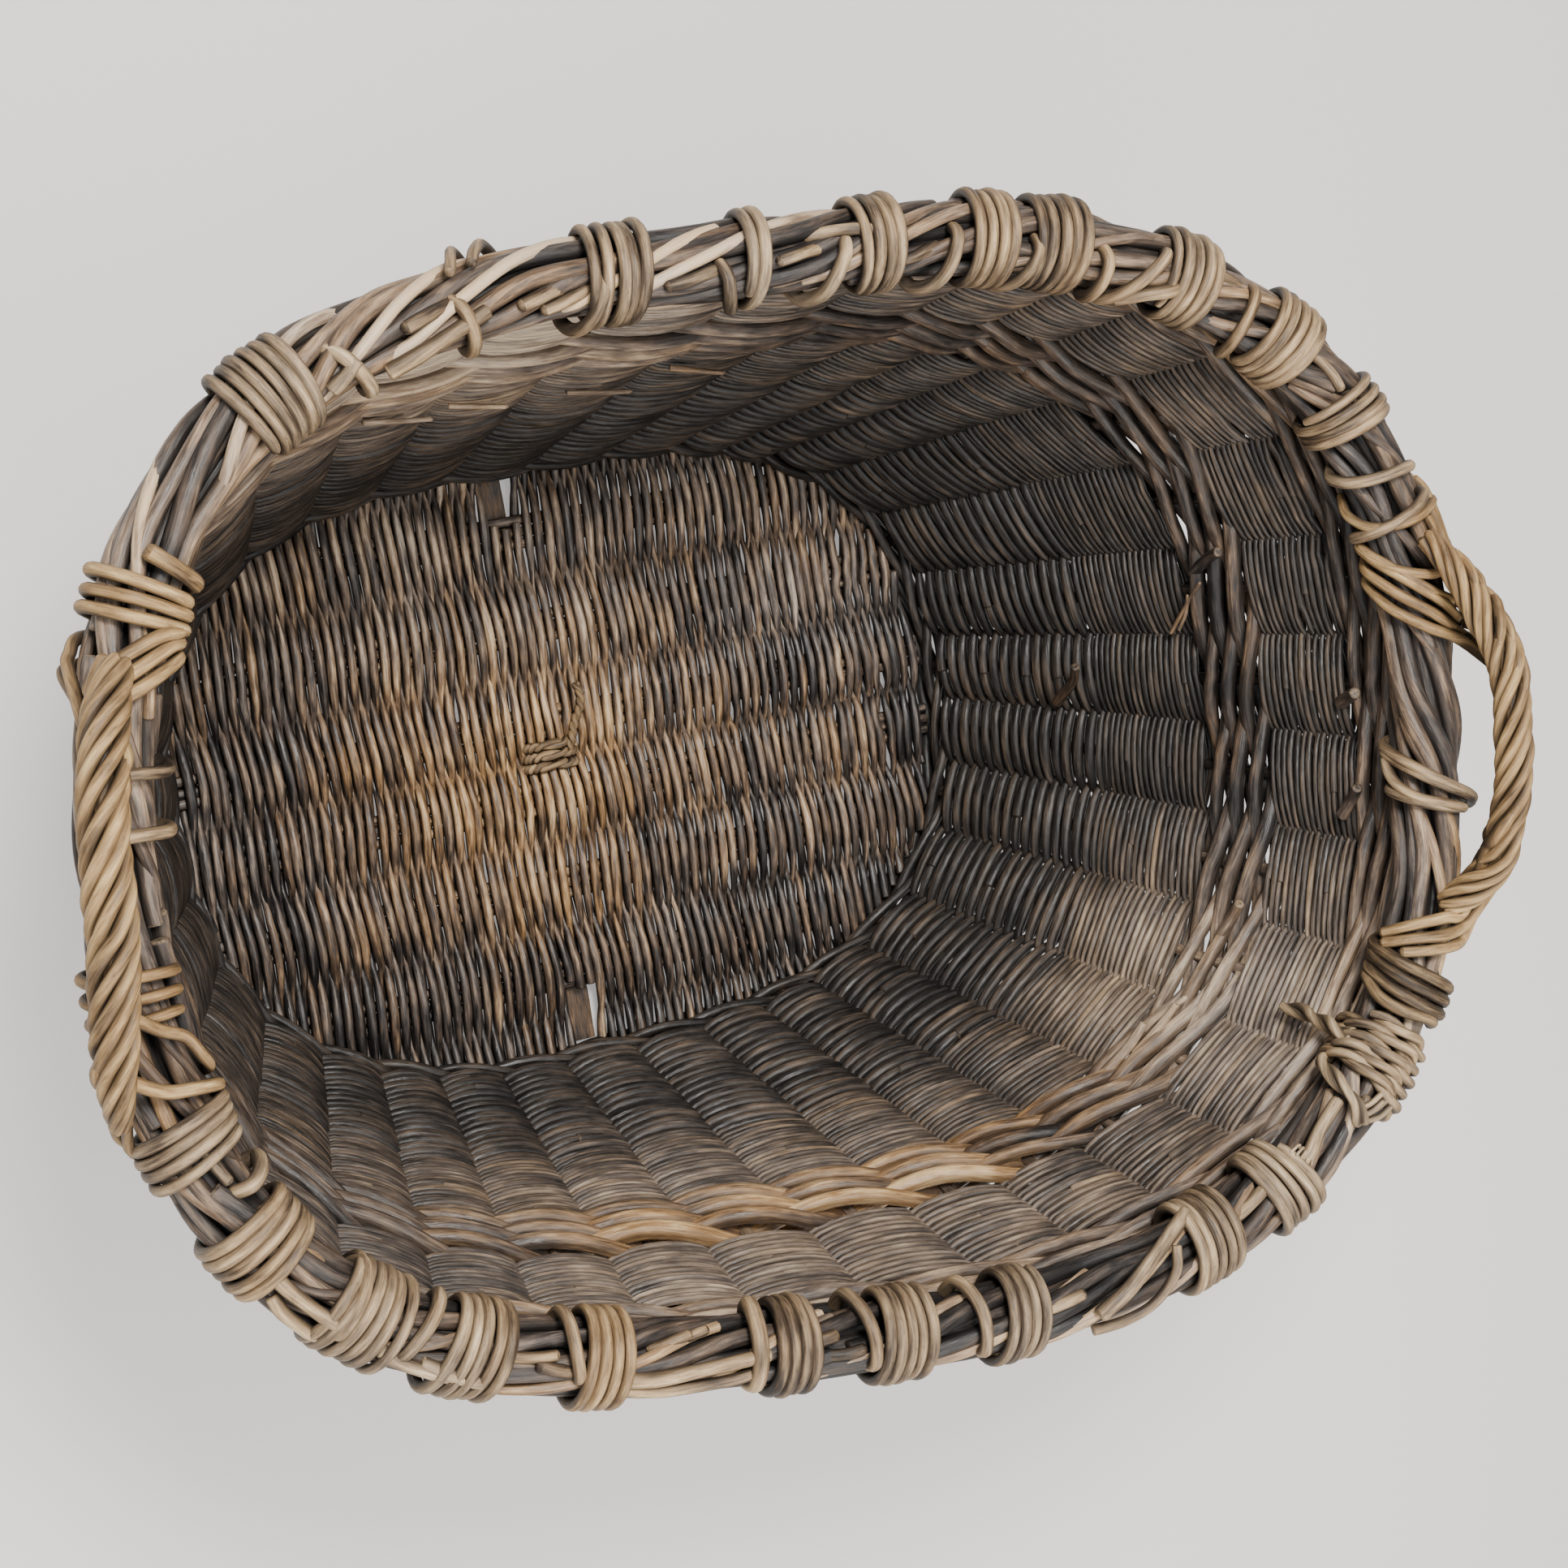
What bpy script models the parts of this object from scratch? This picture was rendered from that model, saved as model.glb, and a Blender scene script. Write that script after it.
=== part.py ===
"""Oval willow harvest basket with two roped end handles.

Frame: metres, +Z up, mouth upwards, long axis along X. The origin is on the
ground under the middle of the bounding box.

Construction, from the ground up: a foot hoop, the side stakes standing in a
ring on it, long floor sticks in bundles, floor weave that passes over and
under them, one cross lath tied near the middle, side weave that passes
inside and outside alternate stakes, a heavier mid wale and top wale, a rolled
border of four rods bound with lashings, and a roped handle of two twisted
rods at each end, held by foot wraps.
"""
import bpy
import bmesh
import math
from mathutils import Vector

# ---------------------------------------------------------------- dimensions
SCALE = 0.410             # half length that the two outline formulas start from
SHIFT_X = 0.0045          # moves the middle of the bounding box to the origin
SHIFT_Y = 0.0022

RIM_B = 0.8263            # mouth: width over length
RIM_N = 2.786             # mouth: squareness of the oval
RIM_WAVES = ((2, 0.0404, 0.0028), (3, -0.0153, 0.0062),
             (4, 0.0098, 0.0025), (5, 0.0051, -0.0015))
BASE_A = 0.7446           # floor: half length and half width, times SCALE
BASE_B = 0.5332
BASE_N = 2.575
BASE_WAVES = ((3, 0.0034, 0.0084), (4, -0.0093, -0.0019))
BASE_TURN = 0.0774        # the floor oval is woven slightly askew
BASE_X = -0.0006
BASE_Y = 0.0062

HOOP_TOP = 0.0220         # top of the ring that the stakes stand in
FOOT_TOP = 0.0150         # top of the foot hoop under it
HOOP_WIDTH = 0.0170
WALL_OUT = 0.0115         # wall middle stands this far outside the floor edge
RIM_HEIGHT = 0.5040       # middle of the border roll
RIM_TILT_X = 0.0091       # the border is not quite level
RIM_TILT_Y = -0.0322
ROLL_RADIUS = 0.0262      # over the four border rods
ROLL_ROD = 0.0105         # radius of each border rod
ROLL_TURNS = 7            # full twists of the border round the mouth

# where the stakes stand, as shares of the length round the basket from the +X end
STAKE_AT = (
    0.0088, 0.0372, 0.0668, 0.0992, 0.1284, 0.1504, 0.1712, 0.1984, 0.2320,
    0.2696, 0.3056, 0.3360, 0.3656, 0.3955, 0.4248, 0.4541, 0.4834, 0.5127,
    0.5420, 0.5713, 0.6006, 0.6268, 0.6520, 0.6784, 0.7064, 0.7368, 0.7704,
    0.8024, 0.8296, 0.8568, 0.8872, 0.9200, 0.9508, 0.9800,
)
STAKES = len(STAKE_AT)
STAKE = 0.0084            # side of a stake's square section
BAND = 0.0055             # thickness of the side weave
BAND_SWING = 0.0099       # side weave, in and out from the wall middle
GAP = 0.0003

FLOOR_Z = 0.0155          # middle of the floor sticks
FLOOR_ROWS = (-0.1650, -0.0960, -0.0285, 0.0285, 0.1015, 0.1750)
STICK_W, STICK_H = 0.0256, 0.0054
WEAVE_T = 0.0042
WEAVE_SIDE_BANDS = 3      # floor weave groups each side of the middle one
MIDDLE_BAND = 0.0340      # width of the middle group, over the lath
MIDDLE_X = -0.0180        # the middle group and its tie stand off centre
TIE_Y = 0.0034
LATH_X = -0.0255          # the lath lies nearer to one side of the tie
TIE_SLOT = 0.0048         # free strip each side of it, for the tie
LATH_W, LATH_T = 0.0190, 0.0046

LASH_T = 0.0034           # thickness of a lashing
LASH_OVER = (ROLL_RADIUS + 2 * GAP + LASH_T) * 1.0515   # over a lashing's corners

HANDLE_SPAN = 0.1476      # half distance between a handle's feet
HANDLE_RISE = 0.0714
HANDLE_OUT_RIGHT = 0.0160
HANDLE_OUT_LEFT = 0.0180
ROPE_ROD = 0.0063         # radius of each handle rod
ROPE_TURNS = 5.5

# side weave: name, lower and upper edge as a share of the wall's height
SIDE_BANDS = (
    ("lower_weave_1", 0.012, 0.145), ("lower_weave_2", 0.145, 0.275),
    ("lower_weave_3", 0.275, 0.405), ("middle_weave_1", 0.405, 0.527),
    ("middle_weave_2", 0.527, 0.648), ("mid_wale", 0.648, 0.770),
    ("upper_weave_1", 0.770, 0.857), ("upper_weave_2", 0.857, 0.945),
    ("top_wale", 0.945, 0.985),
)

# lashings: place round the mouth as a share of its length from the +X end,
# and the number of turns of rod
LASHINGS = (
    (0.0853, 4), (0.1124, 5), (0.1450, 5), (0.1831, 5), (0.2015, 4),
    (0.2321, 4), (0.2641, 2), (0.2989, 5), (0.3852, 6), (0.5577, 4),
    (0.5850, 5), (0.6138, 6), (0.6408, 5), (0.6725, 4), (0.7197, 4),
    (0.7487, 5), (0.7807, 4), (0.8372, 5), (0.8637, 5), (0.9067, 6),
    (0.9867, 2),
)

# ---------------------------------------------------------------- clean start
for ob in list(bpy.data.objects):
    bpy.data.objects.remove(ob, do_unlink=True)
for block in (bpy.data.meshes, bpy.data.curves, bpy.data.materials):
    for item in list(block):
        block.remove(item)

PART = bpy.data.collections.new("grape_picking_basket")
bpy.context.scene.collection.children.link(PART)


# ---------------------------------------------------------------- helpers
def material(name, rgb, roughness):
    m = bpy.data.materials.new(name)
    m.use_nodes = True
    p = m.node_tree.nodes["Principled BSDF"]
    p.inputs["Base Color"].default_value = (*rgb, 1.0)
    p.inputs["Roughness"].default_value = roughness
    p.inputs["Metallic"].default_value = 0.0
    return m


def add_object(name, data, rgb, roughness=0.75):
    ob = bpy.data.objects.new(name, data)
    PART.objects.link(ob)
    data.materials.append(material(name, rgb, roughness))
    return ob


def mesh_from(name, bm, rgb, smooth=False):
    bmesh.ops.recalc_face_normals(bm, faces=bm.faces)
    me = bpy.data.meshes.new(name)
    bm.to_mesh(me)
    bm.free()
    ob = add_object(name, me, rgb)
    if smooth:
        me.shade_smooth()
        me.set_sharp_from_angle(angle=math.radians(40))
    return ob


def loft(bm, sections, closed):
    """Skin a row of equal-length sections; closed joins the last to the first."""
    rows = [[bm.verts.new(p) for p in sec] for sec in sections]
    n = len(rows[0])
    last = len(rows) if closed else len(rows) - 1
    for i in range(last):
        a, b = rows[i], rows[(i + 1) % len(rows)]
        for j in range(n):
            k = (j + 1) % n
            bm.faces.new((a[j], a[k], b[k], b[j]))
    if not closed:
        bm.faces.new(rows[0])
        bm.faces.new(tuple(reversed(rows[-1])))
    return rows


def oval(t, a, b, n, waves):
    c, s = math.cos(t), math.sin(t)
    r = (abs(c / a) ** n + abs(s / b) ** n) ** (-1.0 / n)
    r *= 1.0 + sum(p * math.cos(k * t) + q * math.sin(k * t) for k, p, q in waves)
    return r * c, r * s


class Outline:
    """A closed plan curve that can be read by its share of length."""

    def __init__(self, fn, samples=1440):
        self.pts = [Vector(fn(2 * math.pi * i / samples)) for i in range(samples)]
        self.acc = [0.0]
        for i in range(samples):
            step = (self.pts[(i + 1) % samples] - self.pts[i]).length
            self.acc.append(self.acc[-1] + step)
        self.length = self.acc[-1]

    def at(self, share):
        d = (share % 1.0) * self.length
        lo, hi = 0, len(self.pts)
        while hi - lo > 1:
            mid = (lo + hi) // 2
            if self.acc[mid] <= d:
                lo = mid
            else:
                hi = mid
        f = (d - self.acc[lo]) / (self.acc[lo + 1] - self.acc[lo])
        return self.pts[lo].lerp(self.pts[(lo + 1) % len(self.pts)], f)

    def normal(self, share):
        d = self.at(share + 0.002) - self.at(share - 0.002)
        return Vector((d.y, -d.x)).normalized()


def rim_xy(t):
    x, y = oval(t, 1.0, RIM_B, RIM_N, RIM_WAVES)
    return x * SCALE + SHIFT_X, y * SCALE + SHIFT_Y


def turned(x, y):
    c, s = math.cos(BASE_TURN), math.sin(BASE_TURN)
    return x * c - y * s + BASE_X + SHIFT_X, x * s + y * c + BASE_Y + SHIFT_Y


def floor_local(t):
    x, y = oval(t, BASE_A, BASE_B, BASE_N, BASE_WAVES)
    return x * SCALE, y * SCALE


def floor_xy(t):
    return turned(*floor_local(t))


RIM = Outline(rim_xy)
FLOOR = Outline(floor_xy)


def rim_z(p):
    x, y = p.x - SHIFT_X, p.y - SHIFT_Y
    return RIM_HEIGHT + RIM_TILT_X * x + RIM_TILT_Y * y


def wall_low(share):
    p = FLOOR.at(share) + FLOOR.normal(share) * WALL_OUT
    return Vector((p.x, p.y, HOOP_TOP))


def wall_top(share):
    r = RIM.at(share)
    p = r - RIM.normal(share) * 0.003
    return Vector((p.x, p.y, rim_z(r) - LASH_OVER - 0.0016))


def wall(share, w):
    return wall_low(share).lerp(wall_top(share), w)


def wall_normal(share, w):
    """Outward, square to the wall."""
    along = wall(share + 0.003, w) - wall(share - 0.003, w)
    up = wall_top(share) - wall_low(share)
    return along.cross(up).normalized()


# ---------------------------------------------------------------- foot hoop and stakes
def hoop_sections(z0, z1, widths):
    """Two sections at each stake and one half way to the next.

    The widths are the distances from the middle."""
    secs = []
    for i in range(STAKES):
        after = STAKE_AT[(i + 1) % STAKES] + (1 if i == STAKES - 1 else 0)
        for share, steps in ((STAKE_AT[i], (-1, 1)), ((STAKE_AT[i] + after) / 2, (0,))):
            p = wall_low(share)
            n = wall_normal(share, 0.0)
            n = Vector((n.x, n.y, 0)).normalized()
            side = Vector((-n.y, n.x, 0))
            for sgn in steps:
                q = p + side * (sgn * STAKE / 2)
                low = Vector((q.x, q.y, z0))
                top = Vector((q.x, q.y, z1))
                secs.append([low + n * widths[0], low + n * widths[-1]]
                            + [top + n * w for w in reversed(widths)])
    return secs


def foot_hoop():
    bm = bmesh.new()
    loft(bm, hoop_sections(0.0, FOOT_TOP, (-HOOP_WIDTH * 0.55, HOOP_WIDTH * 0.45)), True)
    return mesh_from("foot_hoop", bm, (0.12, 0.09, 0.06))


def side_stakes():
    """A thin ring with the stakes drawn up out of it to the border."""
    bm = bmesh.new()
    half = STAKE / 2
    widths = (-HOOP_WIDTH * 0.55, -half, half, HOOP_WIDTH * 0.45)
    rows = loft(bm, hoop_sections(FOOT_TOP + GAP, HOOP_TOP, widths), True)
    bm.faces.ensure_lookup_table()
    tops = []
    for i in range(STAKES):
        a, b = rows[3 * i], rows[3 * i + 1]
        for f in a[3].link_faces:
            if {a[3], a[4], b[3], b[4]} == set(f.verts):
                tops.append(f)
                break
    made = bmesh.ops.extrude_discrete_faces(bm, faces=tops)["faces"]
    for i, f in enumerate(made):
        share = STAKE_AT[i]
        low, top = wall_low(share), wall_top(share)
        n0 = wall_normal(share, 0.0)
        n0 = Vector((n0.x, n0.y, 0)).normalized()
        s0 = Vector((-n0.y, n0.x, 0))
        n1 = wall_normal(share, 1.0)
        s1 = Vector((-n1.y, n1.x, 0)).normalized()
        for v in f.verts:
            d = v.co - low
            v.co = top + n1 * d.dot(n0) + s1 * d.dot(s0)
    return mesh_from("side_stakes", bm, (0.12, 0.09, 0.06))


def side_band(index, name, w0, w1):
    """A closed course of weave, outside one stake and inside the next."""
    bm = bmesh.new()
    secs = []
    height = (wall_top(0) - wall_low(0)).length
    w0 += GAP / height
    w1 -= GAP / height
    for i in range(STAKES):
        share = STAKE_AT[i]
        sign = 1 if (i + index) % 2 == 0 else -1
        n = wall_normal(share, (w0 + w1) / 2)
        mid = n * (BAND_SWING * sign)
        a, b = wall(share, w0) + mid, wall(share, w1) + mid
        t = n * (BAND / 2)
        secs.append([a - t, a + t, b + t, b - t])
    loft(bm, secs, True)
    tone = (0.20, 0.12, 0.06) if "wale" in name else (0.10, 0.085, 0.075)
    return mesh_from(name, bm, tone)


# ---------------------------------------------------------------- floor
def floor_limit(axis_value, along_x, inset):
    """Where a floor line at local y (or x) meets the floor edge, low and high."""
    best = [0.0, 0.0]
    n = 1440
    prev = floor_local(2 * math.pi * (n - 1) / n)
    for i in range(n):
        cur = floor_local(2 * math.pi * i / n)
        u0, v0 = (prev[1], prev[0]) if along_x else (prev[0], prev[1])
        u1, v1 = (cur[1], cur[0]) if along_x else (cur[0], cur[1])
        if (u0 - axis_value) * (u1 - axis_value) <= 0 and u0 != u1:
            v = v0 + (v1 - v0) * (axis_value - u0) / (u1 - u0)
            best[0] = min(best[0], v)
            best[1] = max(best[1], v)
        prev = cur
    return best[0] + inset, best[1] - inset


def place(x, y, z):
    px, py = turned(x, y)
    return Vector((px, py, z))


def floor_stick(k):
    y = FLOOR_ROWS[k]
    lim = [floor_limit(y + s * STICK_W / 2, True, -0.0006) for s in (-1, 1)]
    x0 = max(v[0] for v in lim)
    x1 = min(v[1] for v in lim)
    bm = bmesh.new()
    secs = []
    for i in range(7):
        x = x0 + (x1 - x0) * i / 6
        r = 1.0 if 0 < i < 6 else 0.86
        w, h, c = STICK_W / 2 * r, STICK_H / 2 * r, 0.0012
        secs.append([place(x, y + a, FLOOR_Z + b) for a, b in
                     ((-w, -h + c), (-w + c, -h), (w - c, -h), (w, -h + c),
                      (w, h - c), (w - c, h), (-w + c, h), (-w, h - c))])
    loft(bm, secs, False)
    return mesh_from("floor_stick_%d" % (k + 1), bm, (0.14, 0.11, 0.08), True)


def weave_spans():
    """The floor weave groups from -X to +X, as pairs of edges."""
    half = BASE_A * SCALE - 0.0185
    mid = MIDDLE_BAND / 2

    def groups(x0, x1):
        step = (x1 - x0) / WEAVE_SIDE_BANDS
        return [(x0 + i * step + GAP, x0 + (i + 1) * step - GAP)
                for i in range(WEAVE_SIDE_BANDS)]

    return (groups(-half, MIDDLE_X - mid - TIE_SLOT)
            + [(MIDDLE_X - mid, MIDDLE_X + mid)]
            + groups(MIDDLE_X + mid + TIE_SLOT, half))


def floor_weave(k, x0, x1):
    """Cross rods of the floor, above one stick and below the next."""
    lo = [floor_limit(x, False, -0.0006) for x in (x0, x1)]
    y_low = max(v[0] for v in lo)
    y_high = min(v[1] for v in lo)
    t = WEAVE_T / 2

    def section(ya, yb, z):
        return [place(x0, ya, z - t), place(x1, yb, z - t),
                place(x1, yb, z + t), place(x0, ya, z + t)]

    flat = STICK_W / 2 + 0.0014
    lift = STICK_H / 2 + t + 0.0004
    stations = []
    for j, y in enumerate(FLOOR_ROWS):
        sign = 1 if (j + k) % 2 == 0 else -1
        if y - flat < y_low + 0.004 or y + flat > y_high - 0.004:
            continue
        stations.append((y - flat, sign * lift))
        stations.append((y + flat, sign * lift))
    secs = [section(lo[0][0], lo[1][0], FLOOR_Z + stations[0][1])]
    secs += [section(y, y, FLOOR_Z + z) for y, z in stations]
    secs.append(section(lo[0][1], lo[1][1], FLOOR_Z + stations[-1][1]))
    bm = bmesh.new()
    loft(bm, secs, False)
    return mesh_from("floor_weave_%d" % (k + 1), bm, (0.15, 0.12, 0.085))


LATH_TOP = FLOOR_Z - STICK_H / 2 - 0.0004 - WEAVE_T - 0.0004


def cross_lath():
    z1 = LATH_TOP
    z0 = z1 - LATH_T
    w = LATH_W / 2
    m = LATH_X
    lim = [floor_limit(m + s * w, False, 0.0002) for s in (-1, 1)]
    y0 = max(v[0] for v in lim)
    y1 = min(v[1] for v in lim)
    c = 0.0010
    bm = bmesh.new()
    secs = []
    for i in range(5):
        y = y0 + (y1 - y0) * i / 4
        secs.append([place(m - w + c, y, z0), place(m + w - c, y, z0),
                     place(m + w, y, z0 + c), place(m + w, y, z1 - c),
                     place(m + w - c, y, z1), place(m - w + c, y, z1),
                     place(m - w, y, z1 - c), place(m - w, y, z0 + c)])
    loft(bm, secs, False)
    return mesh_from("cross_lath", bm, (0.16, 0.11, 0.075))


def centre_binding():
    """A tie round the middle weave group and the cross lath under it."""
    z_low = LATH_TOP - LATH_T - 0.0004
    z_high = FLOOR_Z + STICK_H / 2 + 0.0004 + WEAVE_T
    z_high = max(z_high, FLOOR_Z + WEAVE_T) + 0.0004
    iw = MIDDLE_BAND / 2 + 0.0006
    th = 0.0032
    ow = iw + th
    c = 0.0014
    hw = 0.0120
    inner = [(-iw, z_low), (iw, z_low), (iw, z_high), (-iw, z_high)]
    outer = [(-ow, z_low - 0.0024), (ow, z_low - 0.0024),
             (ow, z_high + th * 0.8), (-ow, z_high + th * 0.8)]
    bm = bmesh.new()
    secs = []
    for (xa, za), (xb, zb) in zip(inner, outer):
        xa += MIDDLE_X
        xb += MIDDLE_X
        secs.append([place(xa, TIE_Y - hw, za), place(xb, TIE_Y - hw + c, zb),
                     place(xb, TIE_Y + hw - c, zb), place(xa, TIE_Y + hw, za)])
    loft(bm, secs, True)
    return mesh_from("centre_binding", bm, (0.17, 0.12, 0.07))


# ---------------------------------------------------------------- border
def roll_frame(share):
    p = RIM.at(share)
    n = RIM.normal(share)
    c = Vector((p.x, p.y, rim_z(p)))
    return c, Vector((n.x, n.y, 0)), Vector((0, 0, 1))


def border_rod(k):
    n = 96
    pts = []
    r = ROLL_RADIUS - ROLL_ROD
    for i in range(n):
        share = i / n
        c, out, up = roll_frame(share)
        a = 2 * math.pi * (k / 4 + ROLL_TURNS * share)
        pts.append(c + out * (r * math.cos(a)) + up * (r * math.sin(a)))
    cu = bpy.data.curves.new("border_rod_%d" % (k + 1), "CURVE")
    cu.dimensions = "3D"
    cu.bevel_depth = ROLL_ROD
    cu.bevel_resolution = 1
    cu.render_resolution_u = 0
    sp = cu.splines.new("POLY")
    sp.points.add(n - 1)
    for q, co in zip(sp.points, pts):
        q.co = (*co, 1)
    sp.use_cyclic_u = True
    return add_object("border_rod_%d" % (k + 1), cu, (0.16, 0.14, 0.125))


def ring_round(name, share, width, inner, thick, rgb, sides=10):
    """A short closed sleeve that follows the border."""
    k = 1.0 / math.cos(math.pi / sides)
    steps = 3 if width > 0.026 else 2
    half = width / 2 / RIM.length

    def hoop(at, radius):
        c, out, up = roll_frame(at)
        return [c + (out * math.cos(a) + up * math.sin(a)) * (radius * k)
                for a in [2 * math.pi * (i + 0.5) / sides for i in range(sides)]]

    edge = 0.0016 / RIM.length
    inside = [share - half + 2 * half * i / (steps - 1) for i in range(steps)]
    outside = [share + half - edge - 2 * (half - edge) * i / (steps - 1)
               for i in range(steps)]
    bm = bmesh.new()
    secs = [hoop(at, inner) for at in inside]
    secs += [hoop(at, inner + thick) for at in outside]
    loft(bm, secs, True)
    return mesh_from(name, bm, rgb, True)


def sleeve_width(turns):
    return 0.0042 + 0.0063 * turns


# ---------------------------------------------------------------- handles
def handle_point(side, s):
    """s runs -1 to 1 between the feet; side is 1 at +X and -1 at -X."""
    y = s * HANDLE_SPAN + SHIFT_Y
    lo, hi = (0.0, 0.25) if side > 0 else (0.25, 0.5)
    if side > 0:
        lo, hi = (-0.24, 0.24)
    else:
        lo, hi = (0.26, 0.74)
    a, b = lo, hi
    for _ in range(50):
        m = (a + b) / 2
        ym = RIM.at(m).y
        if (ym < y) == (side > 0):
            a = m
        else:
            b = m
    p = RIM.at((a + b) / 2)
    lift = (1 - min(1.0, abs(s)) ** 2.4) ** (1 / 1.6)
    out = HANDLE_OUT_RIGHT if side > 0 else HANDLE_OUT_LEFT
    return Vector((p.x + side * out * lift, y, rim_z(p) + HANDLE_RISE * lift))


def handle_path(side):
    fine = [handle_point(side, -1 + 2 * i / 600) for i in range(601)]
    clear = LASH_OVER + 0.0010 + 2 * ROPE_ROD
    keep = []
    for p in fine:
        near = min((p - Vector((*RIM.at(j / 360), 0)) - Vector((0, 0, rim_z(RIM.at(j / 360))))).length
                   for j in (range(-60, 61) if side > 0 else range(120, 241)))
        if near > clear:
            keep.append(p)
    return keep


def resample(pts, n):
    acc = [0.0]
    for a, b in zip(pts, pts[1:]):
        acc.append(acc[-1] + (b - a).length)
    out = []
    j = 0
    for i in range(n):
        d = acc[-1] * i / (n - 1)
        while j < len(pts) - 2 and acc[j + 1] < d:
            j += 1
        f = (d - acc[j]) / (acc[j + 1] - acc[j])
        out.append(pts[j].lerp(pts[j + 1], f))
    return out


def handle_rod(name, path, phase):
    n = 49
    mid = resample(path, n)
    r = ROPE_ROD + 0.0003
    pts = []
    ref = Vector((0, 0, 1))
    for i in range(n):
        a, b = mid[max(0, i - 1)], mid[min(n - 1, i + 1)]
        t = (b - a).normalized()
        u = ref - t * ref.dot(t)
        if u.length < 0.2:
            u = Vector((1, 0, 0)) - t * t.x
        u.normalize()
        v = t.cross(u)
        ang = phase + 2 * math.pi * ROPE_TURNS * i / (n - 1)
        pts.append(mid[i] + u * (r * math.cos(ang)) + v * (r * math.sin(ang)))
    cu = bpy.data.curves.new(name, "CURVE")
    cu.dimensions = "3D"
    cu.bevel_depth = ROPE_ROD * 0.97
    cu.bevel_resolution = 1
    cu.render_resolution_u = 0
    cu.use_fill_caps = True
    sp = cu.splines.new("POLY")
    sp.points.add(n - 1)
    for q, co in zip(sp.points, pts):
        q.co = (*co, 1)
    return add_object(name, cu, (0.42, 0.30, 0.15))


# ---------------------------------------------------------------- build
foot_hoop()
side_stakes()
for i, (name, w0, w1) in enumerate(SIDE_BANDS):
    side_band(i, name, w0, w1)
for k in range(len(FLOOR_ROWS)):
    floor_stick(k)
for k, (x0, x1) in enumerate(weave_spans()):
    floor_weave(k, x0, x1)
cross_lath()
centre_binding()
for k in range(4):
    border_rod(k)
for i, (share, turns) in enumerate(LASHINGS):
    ring_round("border_lashing_%02d" % (i + 1), share, sleeve_width(turns),
               ROLL_RADIUS + 2 * GAP, LASH_T, (0.44, 0.33, 0.18))
for side, label in ((1, "right"), (-1, "left")):
    path = handle_path(side)
    handle_rod("handle_%s_rod_1" % label, path, 0.0)
    handle_rod("handle_%s_rod_2" % label, path, math.pi)
    for end, p in (("front", path[0]), ("back", path[-1])):
        best = min((j / 1440 for j in range(1440)),
                   key=lambda s: (RIM.at(s) - Vector((p.x, p.y))).length)
        ring_round("handle_%s_foot_%s" % (label, end), best, 0.0300,
                   ROLL_RADIUS + 2 * GAP, LASH_T, (0.40, 0.30, 0.17))
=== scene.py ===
"""Looks of an oval willow harvest basket: every rod of the weave as its own tube.

Frame: metres, +Z up, mouth upwards, long axis along X. The outline numbers
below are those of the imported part, so each rod sits where the part has it.
"""
import math

import bpy
import numpy as np
from mathutils import Matrix, Vector


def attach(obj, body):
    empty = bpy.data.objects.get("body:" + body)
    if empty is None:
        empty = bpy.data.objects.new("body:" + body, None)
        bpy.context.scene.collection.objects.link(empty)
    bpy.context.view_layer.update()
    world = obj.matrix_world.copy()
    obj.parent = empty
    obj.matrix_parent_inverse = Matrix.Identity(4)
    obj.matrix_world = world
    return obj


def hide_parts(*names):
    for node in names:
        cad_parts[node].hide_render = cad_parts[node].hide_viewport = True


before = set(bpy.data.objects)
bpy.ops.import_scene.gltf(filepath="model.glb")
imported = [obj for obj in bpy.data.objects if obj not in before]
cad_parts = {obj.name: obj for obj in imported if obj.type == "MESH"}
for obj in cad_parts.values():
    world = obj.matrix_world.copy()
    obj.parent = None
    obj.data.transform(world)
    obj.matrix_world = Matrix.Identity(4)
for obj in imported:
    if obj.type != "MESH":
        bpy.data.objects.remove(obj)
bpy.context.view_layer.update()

# ------------------------------------------------------------------ outline
SCALE = 0.410
SHIFT_X, SHIFT_Y = 0.0045, 0.0022
RIM_B, RIM_N = 0.8263, 2.786
RIM_WAVES = ((2, 0.0404, 0.0028), (3, -0.0153, 0.0062),
             (4, 0.0098, 0.0025), (5, 0.0051, -0.0015))
BASE_A, BASE_B, BASE_N = 0.7446, 0.5332, 2.575
BASE_WAVES = ((3, 0.0034, 0.0084), (4, -0.0093, -0.0019))
BASE_TURN, BASE_X, BASE_Y = 0.0774, -0.0006, 0.0062

HOOP_TOP = 0.0220
WALL_OUT = 0.0115
RIM_HEIGHT, RIM_TILT_X, RIM_TILT_Y = 0.5040, 0.0091, -0.0322
ROLL_RADIUS = 0.0262
LASH_OVER = 0.031755
# where the stakes stand, as shares of the length round the basket from the +X end
STAKE_AT = (
    0.0088, 0.0372, 0.0668, 0.0992, 0.1284, 0.1504, 0.1712, 0.1984, 0.2320,
    0.2696, 0.3056, 0.3360, 0.3656, 0.3955, 0.4248, 0.4541, 0.4834, 0.5127,
    0.5420, 0.5713, 0.6006, 0.6268, 0.6520, 0.6784, 0.7064, 0.7368, 0.7704,
    0.8024, 0.8296, 0.8568, 0.8872, 0.9200, 0.9508, 0.9800,
)
STAKES = len(STAKE_AT)
FLOOR_Z = 0.0155
FLOOR_ROWS = (-0.1650, -0.0960, -0.0285, 0.0285, 0.1015, 0.1750)
HANDLE_SPAN, HANDLE_RISE = 0.1476, 0.0714
HANDLE_OUT_RIGHT, HANDLE_OUT_LEFT = 0.0160, 0.0180
MIDDLE_X, TIE_Y, LATH_X = -0.0180, 0.0034, -0.0255

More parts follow.
